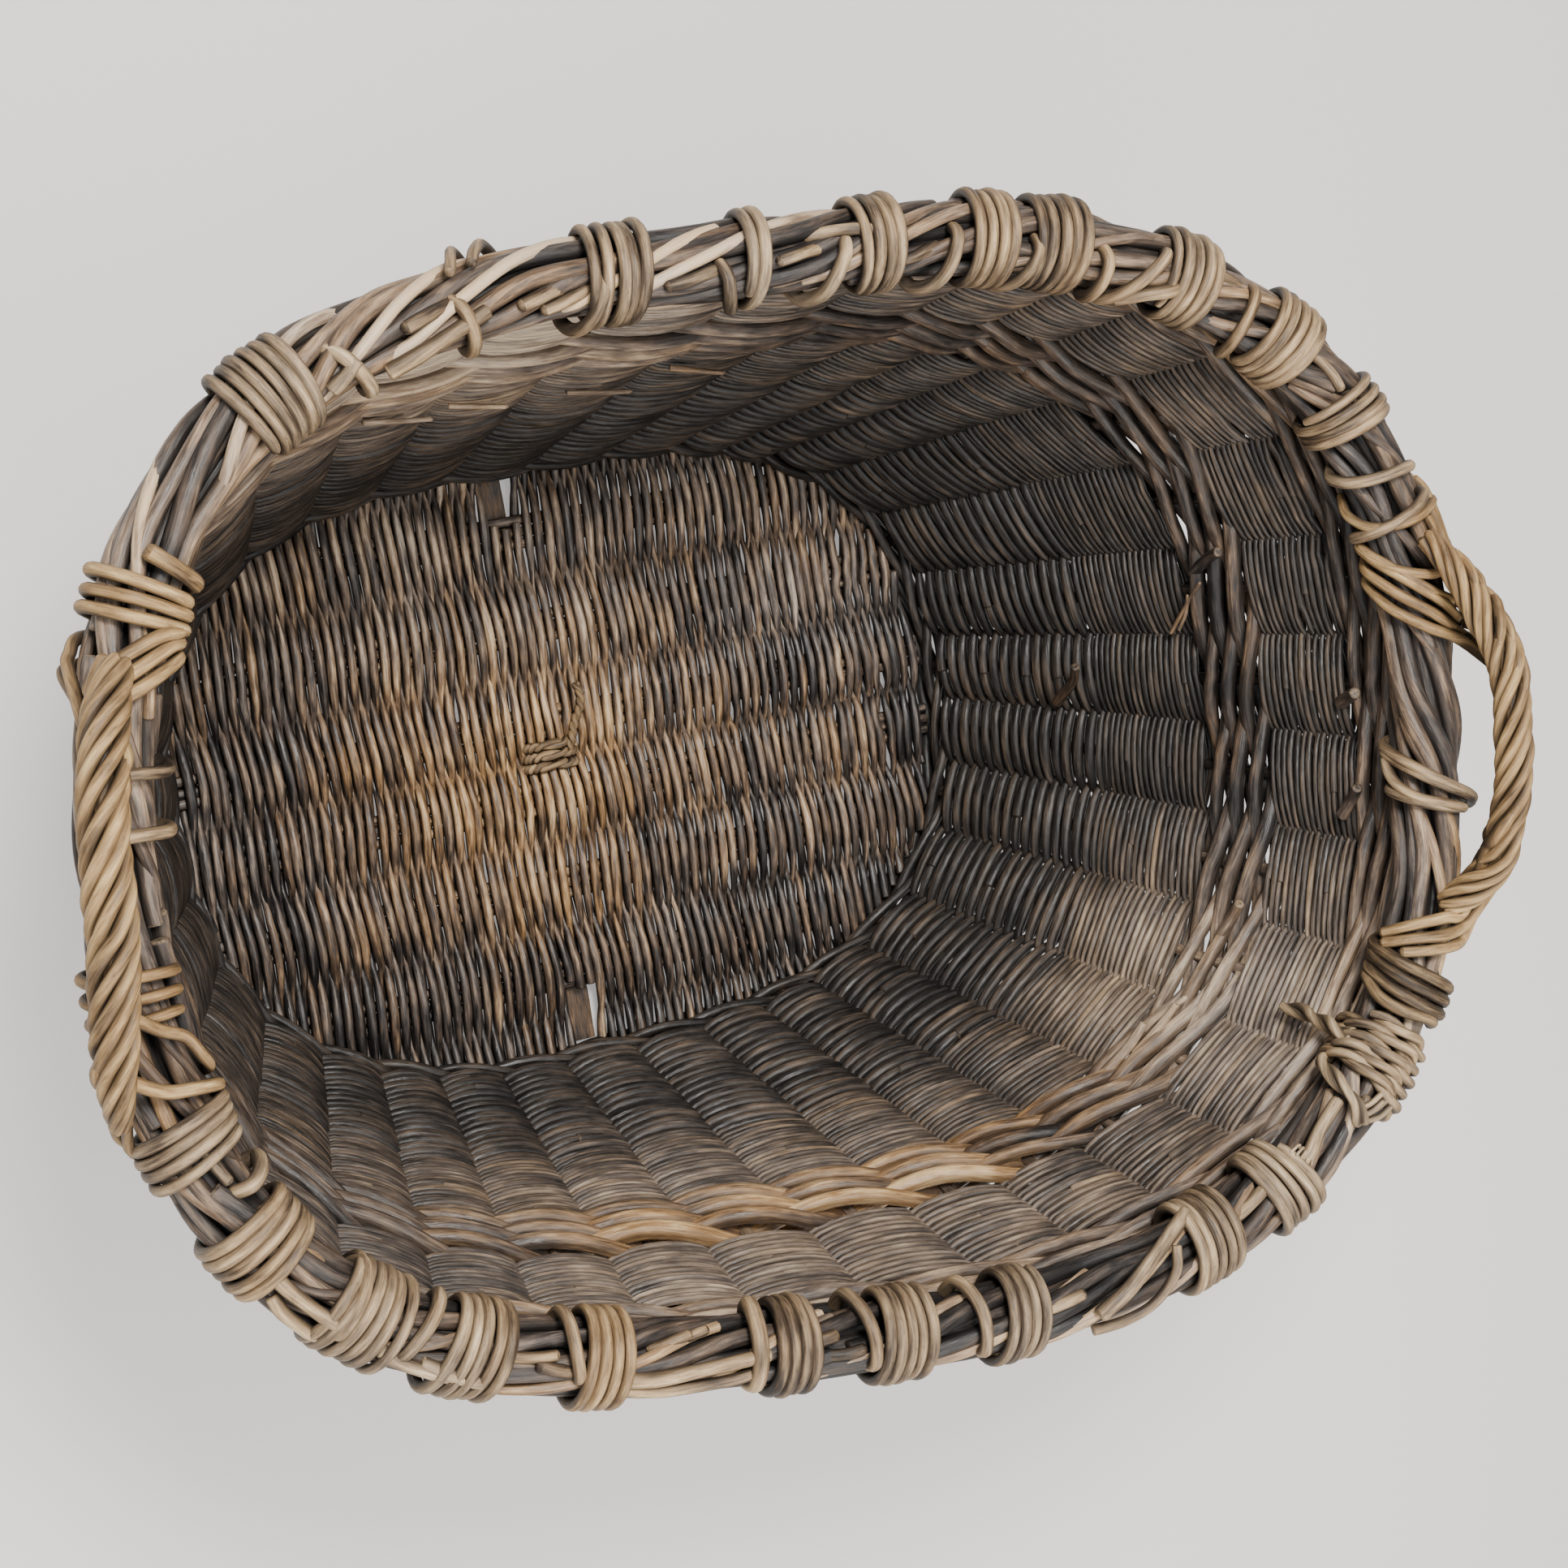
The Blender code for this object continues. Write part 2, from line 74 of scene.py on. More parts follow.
# zones of the side, as shares of the wall's height
THICK = (0.030, 0.405)        # heavy rods, from the foot
FINE_1 = (0.405, 0.645)       # fine rods
WALE = (0.678, 0.718, 0.757)  # three rounds of heavy twisted wale
FINE_2 = (0.778, 0.944)       # fine rods again
TOP = (0.966, 0.996)          # heavy rounds under the border

# lashings: share of the border's length from the +X end, turns of rod
LASHINGS = (
    (0.0853, 4), (0.1124, 5), (0.1450, 5), (0.1831, 5), (0.2015, 4),
    (0.2321, 4), (0.2641, 2), (0.2989, 5), (0.3852, 6), (0.5577, 4),
    (0.5850, 5), (0.6138, 6), (0.6408, 5), (0.6725, 4), (0.7197, 4),
    (0.7487, 5), (0.7807, 4), (0.8372, 5), (0.8637, 5), (0.9067, 6),
    (0.9867, 2),
)

TAU = 2 * math.pi


def oval(t, a, b, n, waves):
    c, s = np.cos(t), np.sin(t)
    r = (np.abs(c / a) ** n + np.abs(s / b) ** n) ** (-1.0 / n)
    r = r * (1.0 + sum(p * np.cos(k * t) + q * np.sin(k * t) for k, p, q in waves))
    return r * c, r * s


class Outline:
    """A closed plan curve that can be read by its share of length."""

    def __init__(self, x, y):
        self.p = np.stack([x, y], 1)
        step = np.linalg.norm(np.roll(self.p, -1, 0) - self.p, axis=1)
        self.acc = np.concatenate([[0.0], np.cumsum(step)])
        self.length = float(self.acc[-1])
        self.loop = np.concatenate([self.p, self.p[:1]])

    def at(self, share):
        d = np.mod(share, 1.0) * self.length
        return np.stack([np.interp(d, self.acc, self.loop[:, 0]),
                         np.interp(d, self.acc, self.loop[:, 1])], -1)

    def normal(self, share):
        share = np.asarray(share, float)
        d = self.at(share + 0.002) - self.at(share - 0.002)
        n = np.stack([d[..., 1], -d[..., 0]], -1)
        return n / np.linalg.norm(n, axis=-1, keepdims=True)


def turned(x, y):
    c, s = math.cos(BASE_TURN), math.sin(BASE_TURN)
    return x * c - y * s + BASE_X + SHIFT_X, x * s + y * c + BASE_Y + SHIFT_Y


_t = np.arange(1440) * TAU / 1440
_x, _y = oval(_t, 1.0, RIM_B, RIM_N, RIM_WAVES)
RIM = Outline(_x * SCALE + SHIFT_X, _y * SCALE + SHIFT_Y)
_x, _y = oval(_t, BASE_A, BASE_B, BASE_N, BASE_WAVES)
FLOOR_LOCAL = np.stack([_x * SCALE, _y * SCALE], 1)
FLOOR = Outline(*turned(FLOOR_LOCAL[:, 0], FLOOR_LOCAL[:, 1]))


def unit(v):
    return v / np.maximum(np.linalg.norm(v, axis=-1, keepdims=True), 1e-12)


def rim_z(p):
    return (RIM_HEIGHT + RIM_TILT_X * (p[..., 0] - SHIFT_X)
            + RIM_TILT_Y * (p[..., 1] - SHIFT_Y))


_U = np.arange(-STAKES, 3 * STAKES + 1)
_S = np.concatenate([np.array(STAKE_AT) + k for k in (-1, 0, 1, 2)] + [[STAKE_AT[0] + 3]])


def share_at(u):
    """Share of the length for a place counted in stakes: a whole number is a stake."""
    return np.interp(u, _U, _S)


def stake_place(share):
    return np.interp(share, _S, _U)


def wall_low(share):
    p = FLOOR.at(share) + FLOOR.normal(share) * WALL_OUT
    return np.concatenate([p, np.full(p.shape[:-1] + (1,), HOOP_TOP)], -1)


def wall_top(share):
    r = RIM.at(share)
    p = r - RIM.normal(share) * 0.003
    z = rim_z(r) - LASH_OVER - 0.0016
    return np.concatenate([p, z[..., None]], -1)


def wall(share, w):
    share, w = np.broadcast_arrays(np.asarray(share, float), np.asarray(w, float))
    a, b = wall_low(share), wall_top(share)
    return a + (b - a) * w[..., None]


def wall_normal(share, w):
    share, w = np.broadcast_arrays(np.asarray(share, float), np.asarray(w, float))
    along = wall(share + 0.004, w) - wall(share - 0.004, w)
    up = wall_top(share) - wall_low(share)
    return unit(np.cross(along, up))


WALL_H = float(np.linalg.norm(wall_top(np.linspace(0, 1, 50)) - wall_low(np.linspace(0, 1, 50)),
                              axis=1).mean())


def roll(share, angle, rho):
    """A point beside the border's middle line: angle 0 outward, 90 degrees up."""
    share, angle, rho = np.broadcast_arrays(np.asarray(share, float),
                                            np.asarray(angle, float), np.asarray(rho, float))
    p = RIM.at(share)
    n = RIM.normal(share)
    z = rim_z(p)
    out = np.concatenate([n, np.zeros(n.shape[:-1] + (1,))], -1)
    c = np.concatenate([p, z[..., None]], -1)
    side = out * np.cos(angle)[..., None]
    side[..., 2] += np.sin(angle)
    return c + side * rho[..., None], side


def place(x, y, z):
    px, py = turned(np.asarray(x, float), np.asarray(y, float))
    return np.stack(np.broadcast_arrays(px, py, np.asarray(z, float)), -1)


# ------------------------------------------------------------------ noise
_LATTICE = np.random.default_rng(11).random((32, 32, 32))


def noise3(p, scale, shift=0.0):
    """Smooth value noise, 0 to 1, at points p."""
    q = np.asarray(p, float) * scale + shift
    i = np.floor(q).astype(int)
    f = q - i
    f = f * f * (3 - 2 * f)
    i0, i1 = i & 31, (i + 1) & 31
    out = 0.0
    for dx in (0, 1):
        wx = f[..., 0] if dx else 1 - f[..., 0]
        ix = i1[..., 0] if dx else i0[..., 0]
        for dy in (0, 1):
            wy = f[..., 1] if dy else 1 - f[..., 1]
            iy = i1[..., 1] if dy else i0[..., 1]
            for dz in (0, 1):
                wz = f[..., 2] if dz else 1 - f[..., 2]
                iz = i1[..., 2] if dz else i0[..., 2]
                out = out + wx * wy * wz * _LATTICE[ix, iy, iz]
    return out


def wander(rng, t, cycles, amount):
    """Slow drift along a rod. t is a length in metres, cycles are per metre."""
    t = np.asarray(t, float)
    out = np.zeros_like(t)
    for k, c in enumerate(cycles):
        out += np.sin(TAU * c * t * rng.uniform(0.8, 1.25) + rng.uniform(0, TAU)) / (1 + 0.5 * k)
    return out * amount


def smooth_line(points, n):
    """A rounded line through the points, evenly spaced."""
    p = np.asarray(points, float)
    q = np.concatenate([2 * p[:1] - p[1:2], p, 2 * p[-1:] - p[-2:-1]])
    fine = []
    for k in range(len(p) - 1):
        a, b, c, d = q[k], q[k + 1], q[k + 2], q[k + 3]
        t = np.linspace(0, 1, 12, endpoint=False)[:, None]
        fine.append(0.5 * (2 * b + (c - a) * t + (2 * a - 5 * b + 4 * c - d) * t ** 2
                           + (3 * b - a - 3 * c + d) * t ** 3))
    fine = np.concatenate(fine + [p[-1:]])
    d = np.concatenate([[0], np.cumsum(np.linalg.norm(np.diff(fine, axis=0), axis=1))])
    s = np.linspace(0, d[-1], n)
    return np.stack([np.interp(s, d, fine[:, k]) for k in range(3)], 1)



# ------------------------------------------------------------------ rods
class Rods:
    """Many round rods collected into one mesh."""

    def __init__(self, sides=8, both=False):
        """both: the side that ref points to and its back count as open and turn lighter, partly wear and partly
        painted highlight; the flanks take painted shade.
        """
        self.sides = sides
        self.both = both
        self.v, self.bark, self.look, self.face = [], [], [], []
        self.faces, self.sizes, self.uv, self.smooth, self.slot = [], [], [], [], []
        self.count = 0
        self.strip = 0.0
        self.around = []

    def _put(self, verts, bark, look, face=0.6):
        at = self.count
        self.face.append(np.array(np.broadcast_to(np.asarray(face, float), (len(verts),))))
        self.v.append(verts)
        self.bark.append(bark)
        self.look.append(look)
        self.count += len(verts)
        return at

    def rod(self, path, radius, rng, ref=None, flat=1.0, tone=0.4, warm=0.3,
            ends=("cut", "cut"), closed=False, sides=None, turn=0.0):
        """ref points out of the side that flat squeezes. ends: cut shows the pith, tip is drawn out."""
        p = np.asarray(path, float)
        n = len(p)
        m = sides or self.sides
        r = np.broadcast_to(np.asarray(radius, float), (n,)).copy()
        if closed:
            t = unit(np.roll(p, -1, 0) - np.roll(p, 1, 0))
        else:
            t = np.empty_like(p)
            t[1:-1] = p[2:] - p[:-2]
            t[0], t[-1] = p[1] - p[0], p[-1] - p[-2]
            t = unit(t)
        if ref is None:
            u = np.empty_like(p)
            g = np.array([0.0, 0.0, 1.0]) if abs(t[0][2]) < 0.8 else np.array([1.0, 0.0, 0.0])
            for i in range(n):
                g = g - t[i] * (g @ t[i])
                g = g / max(np.linalg.norm(g), 1e-9)
                u[i] = g
        else:
            ref = np.broadcast_to(np.asarray(ref, float), p.shape)
            u = unit(ref - t * (ref * t).sum(1, keepdims=True))
        v = np.cross(t, u)
        step = np.linalg.norm(np.diff(p, axis=0), axis=1)
        length = np.concatenate([[0], np.cumsum(step)])
        ang = np.arange(m) * TAU / m + turn
        ca, sa = np.cos(ang), np.sin(ang)
        ring = (p[:, None] + u[:, None] * (ca[None, :, None] * (r * flat)[:, None, None])
                + v[:, None] * (sa[None, :, None] * r[:, None, None]))
        far = rng.uniform(-20, 20, 3)
        local = np.empty((n, m, 3))
        local[..., 0] = ca * r[:, None] + far[0]
        local[..., 1] = sa * r[:, None] + far[1]
        local[..., 2] = length[:, None] + far[2]
        tone = np.broadcast_to(np.asarray(tone, float), (n,))
        warm = np.broadcast_to(np.asarray(warm, float), (n,))
        rnd = rng.random()
        look = np.empty((n, m, 4))
        look[..., 0] = tone[:, None]
        look[..., 1] = warm[:, None]
        look[..., 2] = rnd
        look[..., 3] = 0.0
        # how open each point of the ring is: open sides turn lighter (partly wear, partly painted highlight), flanks
        # take painted shade
        if ref is None:
            open_side = np.full(m, 0.75)
        else:
            open_side = np.abs(ca) if self.both else np.clip(ca, 0, 1)
        at = self._put(ring.reshape(-1, 3), local.reshape(-1, 3), look.reshape(-1, 4),
                       np.tile(open_side, n))
        last = n if closed else n - 1
        i = np.arange(last)[:, None]
        j = np.arange(m)[None, :]
        a = at + i * m + j
        b = at + i * m + (j + 1) % m
        c = at + ((i + 1) % n) * m + (j + 1) % m
        d = at + ((i + 1) % n) * m + j
        quad = np.stack([a, b, c, d], -1).reshape(-1, 4)
        self.faces.append(quad.ravel())
        self.sizes.append(np.full(len(quad), 4))
        self.smooth.append(np.ones(len(quad), bool))
        self.slot.append(np.zeros(len(quad), int))
        s0 = self.strip + np.concatenate([length[:-1], [length[-1]] if closed else []])
        ds = np.concatenate([step, [np.linalg.norm(p[0] - p[-1])] if closed else []])
        e0 = np.broadcast_to(s0[:, None], (last, m))
        e1 = np.broadcast_to(ds[:, None], (last, m))
        j0 = np.broadcast_to(j / m, (last, m))
        self.uv.append(np.stack([e0, e1, j0, np.full((last, m), 1.0 / m)], -1).reshape(-1, 4))
        self.strip += float(length[-1]) + (float(ds[-1]) if closed else 0.0) + 0.004
        self.around.append((float(r.mean()) * TAU, float(length[-1])))
        if not closed:
            for k, kind in ((0, ends[0]), (n - 1, ends[1])):
                self._end(ring[k], p[k], -t[k] if k == 0 else t[k], r[k], kind, k == 0,
                          far, length[k], tone[k], warm[k], rnd)

    def _end(self, ring, mid, away, r, kind, first, far, length, tone, warm, rnd):
        m = len(ring)
        if kind == "tip":
            rows = [ring, mid + (ring - mid) * 0.72 + away * r * 0.55,
                    mid + (ring - mid) * 0.30 + away * r * 1.0]
            centre = mid + away * r * 1.12
            shades = (tone, tone, tone, tone)
            flags = (0.0, 0.0, 0.1, 0.2)
        elif kind == "cut":
            rows = [ring, mid + (ring - mid) * 0.88 + away * r * 0.22,
                    mid + (ring - mid) * 0.45 + away * r * 0.24]
            centre = mid + away * r * 0.12
            shades = (tone, tone + 0.08, tone + 0.04, 0.20)
            flags = (0.0, 0.5, 0.6, 0.5)
        elif kind == "old":
            rows = [ring, mid + (ring - mid) * 0.86 + away * r * 0.42,
                    mid + (ring - mid) * 0.50 + away * r * 0.68]
            centre = mid + away * r * 0.72
            shades = (tone, tone - 0.03, tone - 0.08, tone - 0.12)
            flags = (0.0, 0.0, 0.15, 0.25)
        else:
            rows = [ring, mid + (ring - mid) * 0.80 + away * r * 0.35]
            centre = mid + away * r * 0.50
            shades = (tone, tone, tone)
            flags = (0.0, 0.0, 0.0)
        verts = np.concatenate(rows + [centre[None]])
        bark = (verts - mid) * 0.8 + far + np.array([0, 0, length])
        look = np.empty((len(verts), 4))
        for k in range(len(rows)):
            look[k * m:(k + 1) * m] = (shades[k], warm, rnd, flags[k])
        look[-1] = (shades[-1], warm, rnd, flags[-1])
        at = self._put(verts, bark, look)
        for k in range(len(rows) - 1):
            for j in range(m):
                a, b = at + k * m + j, at + k * m + (j + 1) % m
                c, d = b + m, a + m
                quad = (b, a, d, c) if first else (a, b, c, d)
                self.faces.append(np.array(quad))
                self.sizes.append(np.array([4]))
                self.uv.append(np.array([[self.strip + k * 0.001, 0.001, j / m, 1.0 / m]]))
        k = len(rows) - 1
        tri = []
        for j in range(m):
            a, b = at + k * m + j, at + k * m + (j + 1) % m
            tri += [b, a, at + len(verts) - 1] if first else [a, b, at + len(verts) - 1]
            self.uv.append(np.array([[self.strip + k * 0.001, 0.001, j / m, -1.0 / m]]))
        self.faces.append(np.array(tri))
        self.sizes.append(np.full(m, 3))
        total = (len(rows) - 1) * m + m
        self.smooth.append(np.ones(total, bool))
        self.slot.append(np.zeros(total, int))
        self.strip += 0.005

    def triangles(self):
        return sum(int((s - 2).sum()) for s in self.sizes)

    def build(self, name, mat, slot=None, stands_for=()):
        v = np.concatenate(self.v)
        f = np.concatenate(self.faces)
        n = np.concatenate(self.sizes)
        start = np.concatenate([[0], np.cumsum(n)[:-1]])
        me = bpy.data.meshes.new(name)
        me.vertices.add(len(v))
        me.vertices.foreach_set("co", v.astype(np.float32).ravel())
        me.loops.add(len(f))
        me.loops.foreach_set("vertex_index", f.astype(np.int32))
        me.polygons.add(len(n))
        me.polygons.foreach_set("loop_start", start.astype(np.int32))
        me.polygons.foreach_set("use_smooth", np.concatenate(self.smooth))
        me.update(calc_edges=True)
        a = me.attributes.new("bark", "FLOAT_VECTOR", "POINT")
        a.data.foreach_set("vector", np.concatenate(self.bark).astype(np.float32).ravel())
        a = me.attributes.new("look", "FLOAT_COLOR", "POINT")
        a.data.foreach_set("color", np.concatenate(self.look).astype(np.float32).ravel())
        a = me.attributes.new("face", "FLOAT", "POINT")
        a.data.foreach_set("value", np.concatenate(self.face).astype(np.float32))
        # the rods' skins laid side by side in rows that fill the unit square
        e = np.concatenate(self.uv)
        per = sum(c * l for c, l in self.around) / max(sum(l for c, l in self.around), 1e-9)
        rows = max(1, int(round(math.sqrt(self.strip / max(per, 1e-4)))))
        row_len = self.strip / rows * 1.0001
        row = np.floor(e[:, 0] / row_len)
        u0 = (e[:, 0] - row * row_len) / (row_len * 1.04)
        du = e[:, 1] / (row_len * 1.04)
        v0 = (row + 0.12 + 0.76 * e[:, 2]) / rows
        dv = 0.76 * np.abs(e[:, 3]) / rows
        tri = e[:, 3] < 0
        uv = np.empty((len(f), 2))
        four = n == 4
        s = start[four]
        uv[s] = np.stack([u0, v0], 1)[four]
        uv[s + 1] = np.stack([u0, v0 + dv], 1)[four]
        uv[s + 2] = np.stack([u0 + du, v0 + dv], 1)[four]
        uv[s + 3] = np.stack([u0 + du, v0], 1)[four]
        s = start[~four]
        uv[s] = np.stack([u0, v0], 1)[~four]
        uv[s + 1] = np.stack([u0, v0 + dv], 1)[~four]
        uv[s + 2] = np.stack([u0 + du, v0 + dv / 2], 1)[~four]
        layer = me.uv_layers.new(name="OFBake")
        layer.uv.foreach_set("vector", uv.astype(np.float32).ravel())
        me.validate(clean_customdata=False)
        me.materials.append(mat)
        ob = bpy.data.objects.new(name, me)
        bpy.context.scene.collection.objects.link(ob)
        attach(ob, "root")
        if stands_for:
            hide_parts(*stands_for)
        return ob


# ------------------------------------------------------------------ materials
def bark_material(name, cool, brown, fibre=0.50, blotch=0.36, rough=(0.32, 0.62), bump=0.55,
                  wear_and_highlight=0.20, flank_shade=0.80, speck=0.35, sheen=0.45):
    """Weathered bark: a cool and a brown scale from dark to light, read by each rod's own tone.
    Flanks of a rod take painted shade; its open back turns lighter, partly from wear and partly as painted highlight."""
    m = bpy.data.materials.new(name)
    m.use_nodes = True
    nt = m.node_tree
    bsdf = nt.nodes["Principled BSDF"]
    N = nt.nodes.new
    L = nt.links.new

    def math_node(op, a, b=None, c=None, clamp=False):
        k = N("ShaderNodeMath")
        k.operation = op
        k.use_clamp = clamp
        for i, x in enumerate((a, b, c)):
            if x is None:
                continue
            if isinstance(x, (int, float)):
                k.inputs[i].default_value = x
            else:
                L(x, k.inputs[i])
        return k.outputs[0]

    def noise(scale, stretch, detail, rough_=0.6, add=0.0):
        mp = N("ShaderNodeMapping")
        mp.inputs["Scale"].default_value = stretch
        mp.inputs["Location"].default_value = (add, add, add)
        L(bark.outputs["Vector"], mp.inputs["Vector"])
        t = N("ShaderNodeTexNoise")
        t.inputs["Scale"].default_value = scale
        t.inputs["Detail"].default_value = detail
        t.inputs["Roughness"].default_value = rough_
        L(mp.outputs[0], t.inputs["Vector"])
        return t.outputs["Fac"]

    bark = N("ShaderNodeAttribute")
    bark.attribute_name = "bark"
    look = N("ShaderNodeAttribute")
    look.attribute_name = "look"
    side = N("ShaderNodeAttribute")
    side.attribute_name = "face"
    part = N("ShaderNodeSeparateColor")
    L(look.outputs["Color"], part.inputs[0])
    tone, warm, rnd = part.outputs[0], part.outputs[1], part.outputs[2]
    cut = look.outputs["Alpha"]
    face = side.outputs["Fac"]

    fine = noise(760, (1, 1, 0.07), 3.0)                 # fibres
    broad = noise(250, (1, 1, 0.16), 3.0, add=3.1)       # ridges and flats
    patch = noise(46, (1, 1, 0.45), 3.0, add=7.7)        # worn patches
    knots = noise(90, (0.8, 0.8, 0.8), 1.0, add=11.3)
    spots = noise(520, (1, 1, 0.55), 2.0, add=17.0)      # specks of dirt

    t1 = math_node("MULTIPLY", math_node("SUBTRACT", fine, 0.5), fibre * 1.3)
    t2 = math_node("MULTIPLY", math_node("SUBTRACT", broad, 0.5), fibre * 1.3)
    t3 = math_node("MULTIPLY", math_node("SUBTRACT", patch, 0.5), blotch * 1.9)
    t4 = math_node("MULTIPLY", math_node("SUBTRACT", rnd, 0.5), 0.08)
    # lighter on the rod's open side, in the grain's ridges: partly wear, partly painted highlight
    rubbed_and_lit = math_node("MULTIPLY", math_node("MULTIPLY", face, face),
                    math_node("MULTIPLY_ADD", broad, 2.4, -0.55, clamp=True))
    t5 = math_node("MULTIPLY_ADD", rubbed_and_lit, wear_and_highlight, -0.35 * wear_and_highlight)
    total = math_node("ADD", math_node("ADD", math_node("ADD", t1, t2), math_node("ADD", t3, t4)), t5)
    level = math_node("ADD", tone, total, clamp=True)

    def ramp(stops):
        r = N("ShaderNodeValToRGB")
        r.color_ramp.interpolation = "LINEAR"
        el = r.color_ramp.elements
        el[0].position, el[0].color = stops[0][0], (*stops[0][1], 1)
        el[1].position, el[1].color = stops[-1][0], (*stops[-1][1], 1)
        for pos, col in stops[1:-1]:
            k = el.new(pos)
            k.color = (*col, 1)
        L(level, r.inputs[0])
        return r.outputs[0]

    def mix(factor, a, b):
        k = N("ShaderNodeMix")
        k.data_type = "RGBA"
        L(factor, k.inputs["Factor"])
        for sock, x in ((k.inputs[6], a), (k.inputs[7], b)):
            if isinstance(x, tuple):
                sock.default_value = (*x, 1)
            else:
                L(x, sock)
        return k.outputs[2]

    wmix = math_node("ADD", warm, math_node("MULTIPLY", math_node("SUBTRACT", patch, 0.5), 0.9),
                     clamp=True)
    colour = mix(wmix, ramp(cool), ramp(brown))
    # painted shade on the rod's flanks, varied by the grain, and specks of real dirt
    flank = math_node("POWER", math_node("SUBTRACT", 1.0, face, clamp=True), 1.6)
    shaded_flank = math_node("MULTIPLY", flank, math_node("MULTIPLY_ADD", broad, 0.8, 0.55, clamp=True))
    painted_flank_shade = math_node("MULTIPLY", shaded_flank, flank_shade)
    dots = math_node("MULTIPLY", math_node("MULTIPLY_ADD", spots, 7.0, -4.15, clamp=True), speck)
    shade_and_specks = math_node("MAXIMUM", painted_flank_shade, dots, clamp=True)
    # near-black colour of the painted flank shade and of the dirt specks
    colour = mix(shade_and_specks, colour, (0.0085, 0.0075, 0.0070))
    # pale pith where a rod is cut
    pr = N("ShaderNodeValToRGB")
    pr.color_ramp.elements[0].position = 0.2
    pr.color_ramp.elements[0].color = (0.045, 0.030, 0.020, 1)
    pr.color_ramp.elements[1].position = 0.75
    pr.color_ramp.elements[1].color = (0.42, 0.31, 0.19, 1)
    L(level, pr.inputs[0])
    colour = mix(math_node("MULTIPLY", cut, 0.85, clamp=True), colour, pr.outputs[0])
    L(colour, bsdf.inputs["Base Color"])

    rr = N("ShaderNodeMapRange")
    rr.inputs["From Min"].default_value = 0.30
    rr.inputs["From Max"].default_value = 0.70
    rr.inputs["To Min"].default_value = rough[0]
    rr.inputs["To Max"].default_value = rough[1]
    L(broad, rr.inputs["Value"])
    L(rr.outputs[0], bsdf.inputs["Roughness"])

    height = math_node("ADD", math_node("MULTIPLY", fine, 0.55),
                       math_node("ADD", math_node("MULTIPLY", broad, 1.0),
                                 math_node("MULTIPLY", knots, 0.8)))
    bp = N("ShaderNodeBump")
    bp.inputs["Strength"].default_value = bump
    bp.inputs["Distance"].default_value = 0.0012
    L(height, bp.inputs["Height"])
    L(bp.outputs[0], bsdf.inputs["Normal"])
    bsdf.inputs["Specular IOR Level"].default_value = sheen
    return m


COOL = ((0.00, (0.006, 0.0056, 0.0055)), (0.25, (0.023, 0.0200, 0.0190)),
        (0.50, (0.088, 0.0715, 0.0620)), (0.75, (0.245, 0.195, 0.158)), (1.00, (0.58, 0.48, 0.38)))
BROWN = ((0.00, (0.008, 0.006, 0.005)), (0.25, (0.034, 0.021, 0.013)),
         (0.50, (0.145, 0.080, 0.036)), (0.75, (0.400, 0.230, 0.098)), (1.00, (0.76, 0.52, 0.27)))
STRAW_C = ((0.00, (0.018, 0.014, 0.011)), (0.25, (0.074, 0.054, 0.038)),
           (0.50, (0.220, 0.162, 0.106)), (0.75, (0.410, 0.310, 0.198)), (1.00, (0.66, 0.54, 0.37)))
STRAW_B = ((0.00, (0.020, 0.013, 0.007)), (0.25, (0.092, 0.052, 0.023)),
           (0.50, (0.265, 0.160, 0.070)), (0.75, (0.480, 0.305, 0.140)), (1.00, (0.74, 0.54, 0.28)))
ROPE_C = ((0.00, (0.020, 0.014, 0.009)), (0.25, (0.082, 0.054, 0.030)),
          (0.50, (0.245, 0.162, 0.082)), (0.75, (0.455, 0.315, 0.160)), (1.00, (0.72, 0.55, 0.31)))
ROPE_B = ((0.00, (0.022, 0.013, 0.006)), (0.25, (0.100, 0.052, 0.019)),
          (0.50, (0.290, 0.158, 0.054)), (0.75, (0.510, 0.305, 0.115)), (1.00, (0.78, 0.54, 0.24)))

OLIVE = ((0.00, (0.008, 0.0065, 0.005)), (0.25, (0.033, 0.0235, 0.0155)),
         (0.50, (0.136, 0.088, 0.048)), (0.75, (0.375, 0.248, 0.135)), (1.00, (0.70, 0.53, 0.32)))
MAT_SIDE = bark_material("side_bark", COOL, OLIVE, fibre=0.46, blotch=0.30, rough=(0.34, 0.60),
                         flank_shade=0.74, wear_and_highlight=0.16)
MAT_FLOOR = bark_material("floor_bark", COOL, BROWN, fibre=0.54, blotch=0.40, rough=(0.30, 0.60),
                          flank_shade=0.90, wear_and_highlight=0.36, sheen=0.55)
MAT_WALE = bark_material("wale_bark", COOL, BROWN, fibre=0.48, blotch=0.36, flank_shade=0.80)
MAT_BORDER = bark_material("border_bark", COOL, BROWN, fibre=0.46, blotch=0.24, rough=(0.36, 0.66),
                           flank_shade=0.90, wear_and_highlight=0.17)
MAT_STRAW = bark_material("lashing_bark", STRAW_C, STRAW_B, fibre=0.48, blotch=0.36,
                          rough=(0.42, 0.74), flank_shade=0.80, wear_and_highlight=0.28, sheen=0.35)
MAT_ROPE = bark_material("handle_bark", ROPE_C, ROPE_B, fibre=0.44, blotch=0.28,
                         rough=(0.42, 0.74), flank_shade=0.88, wear_and_highlight=0.24, sheen=0.35)


# ------------------------------------------------------------------ tones
def angle_of(p):
    return np.arctan2(p[..., 1] - SHIFT_Y, p[..., 0] - SHIFT_X)


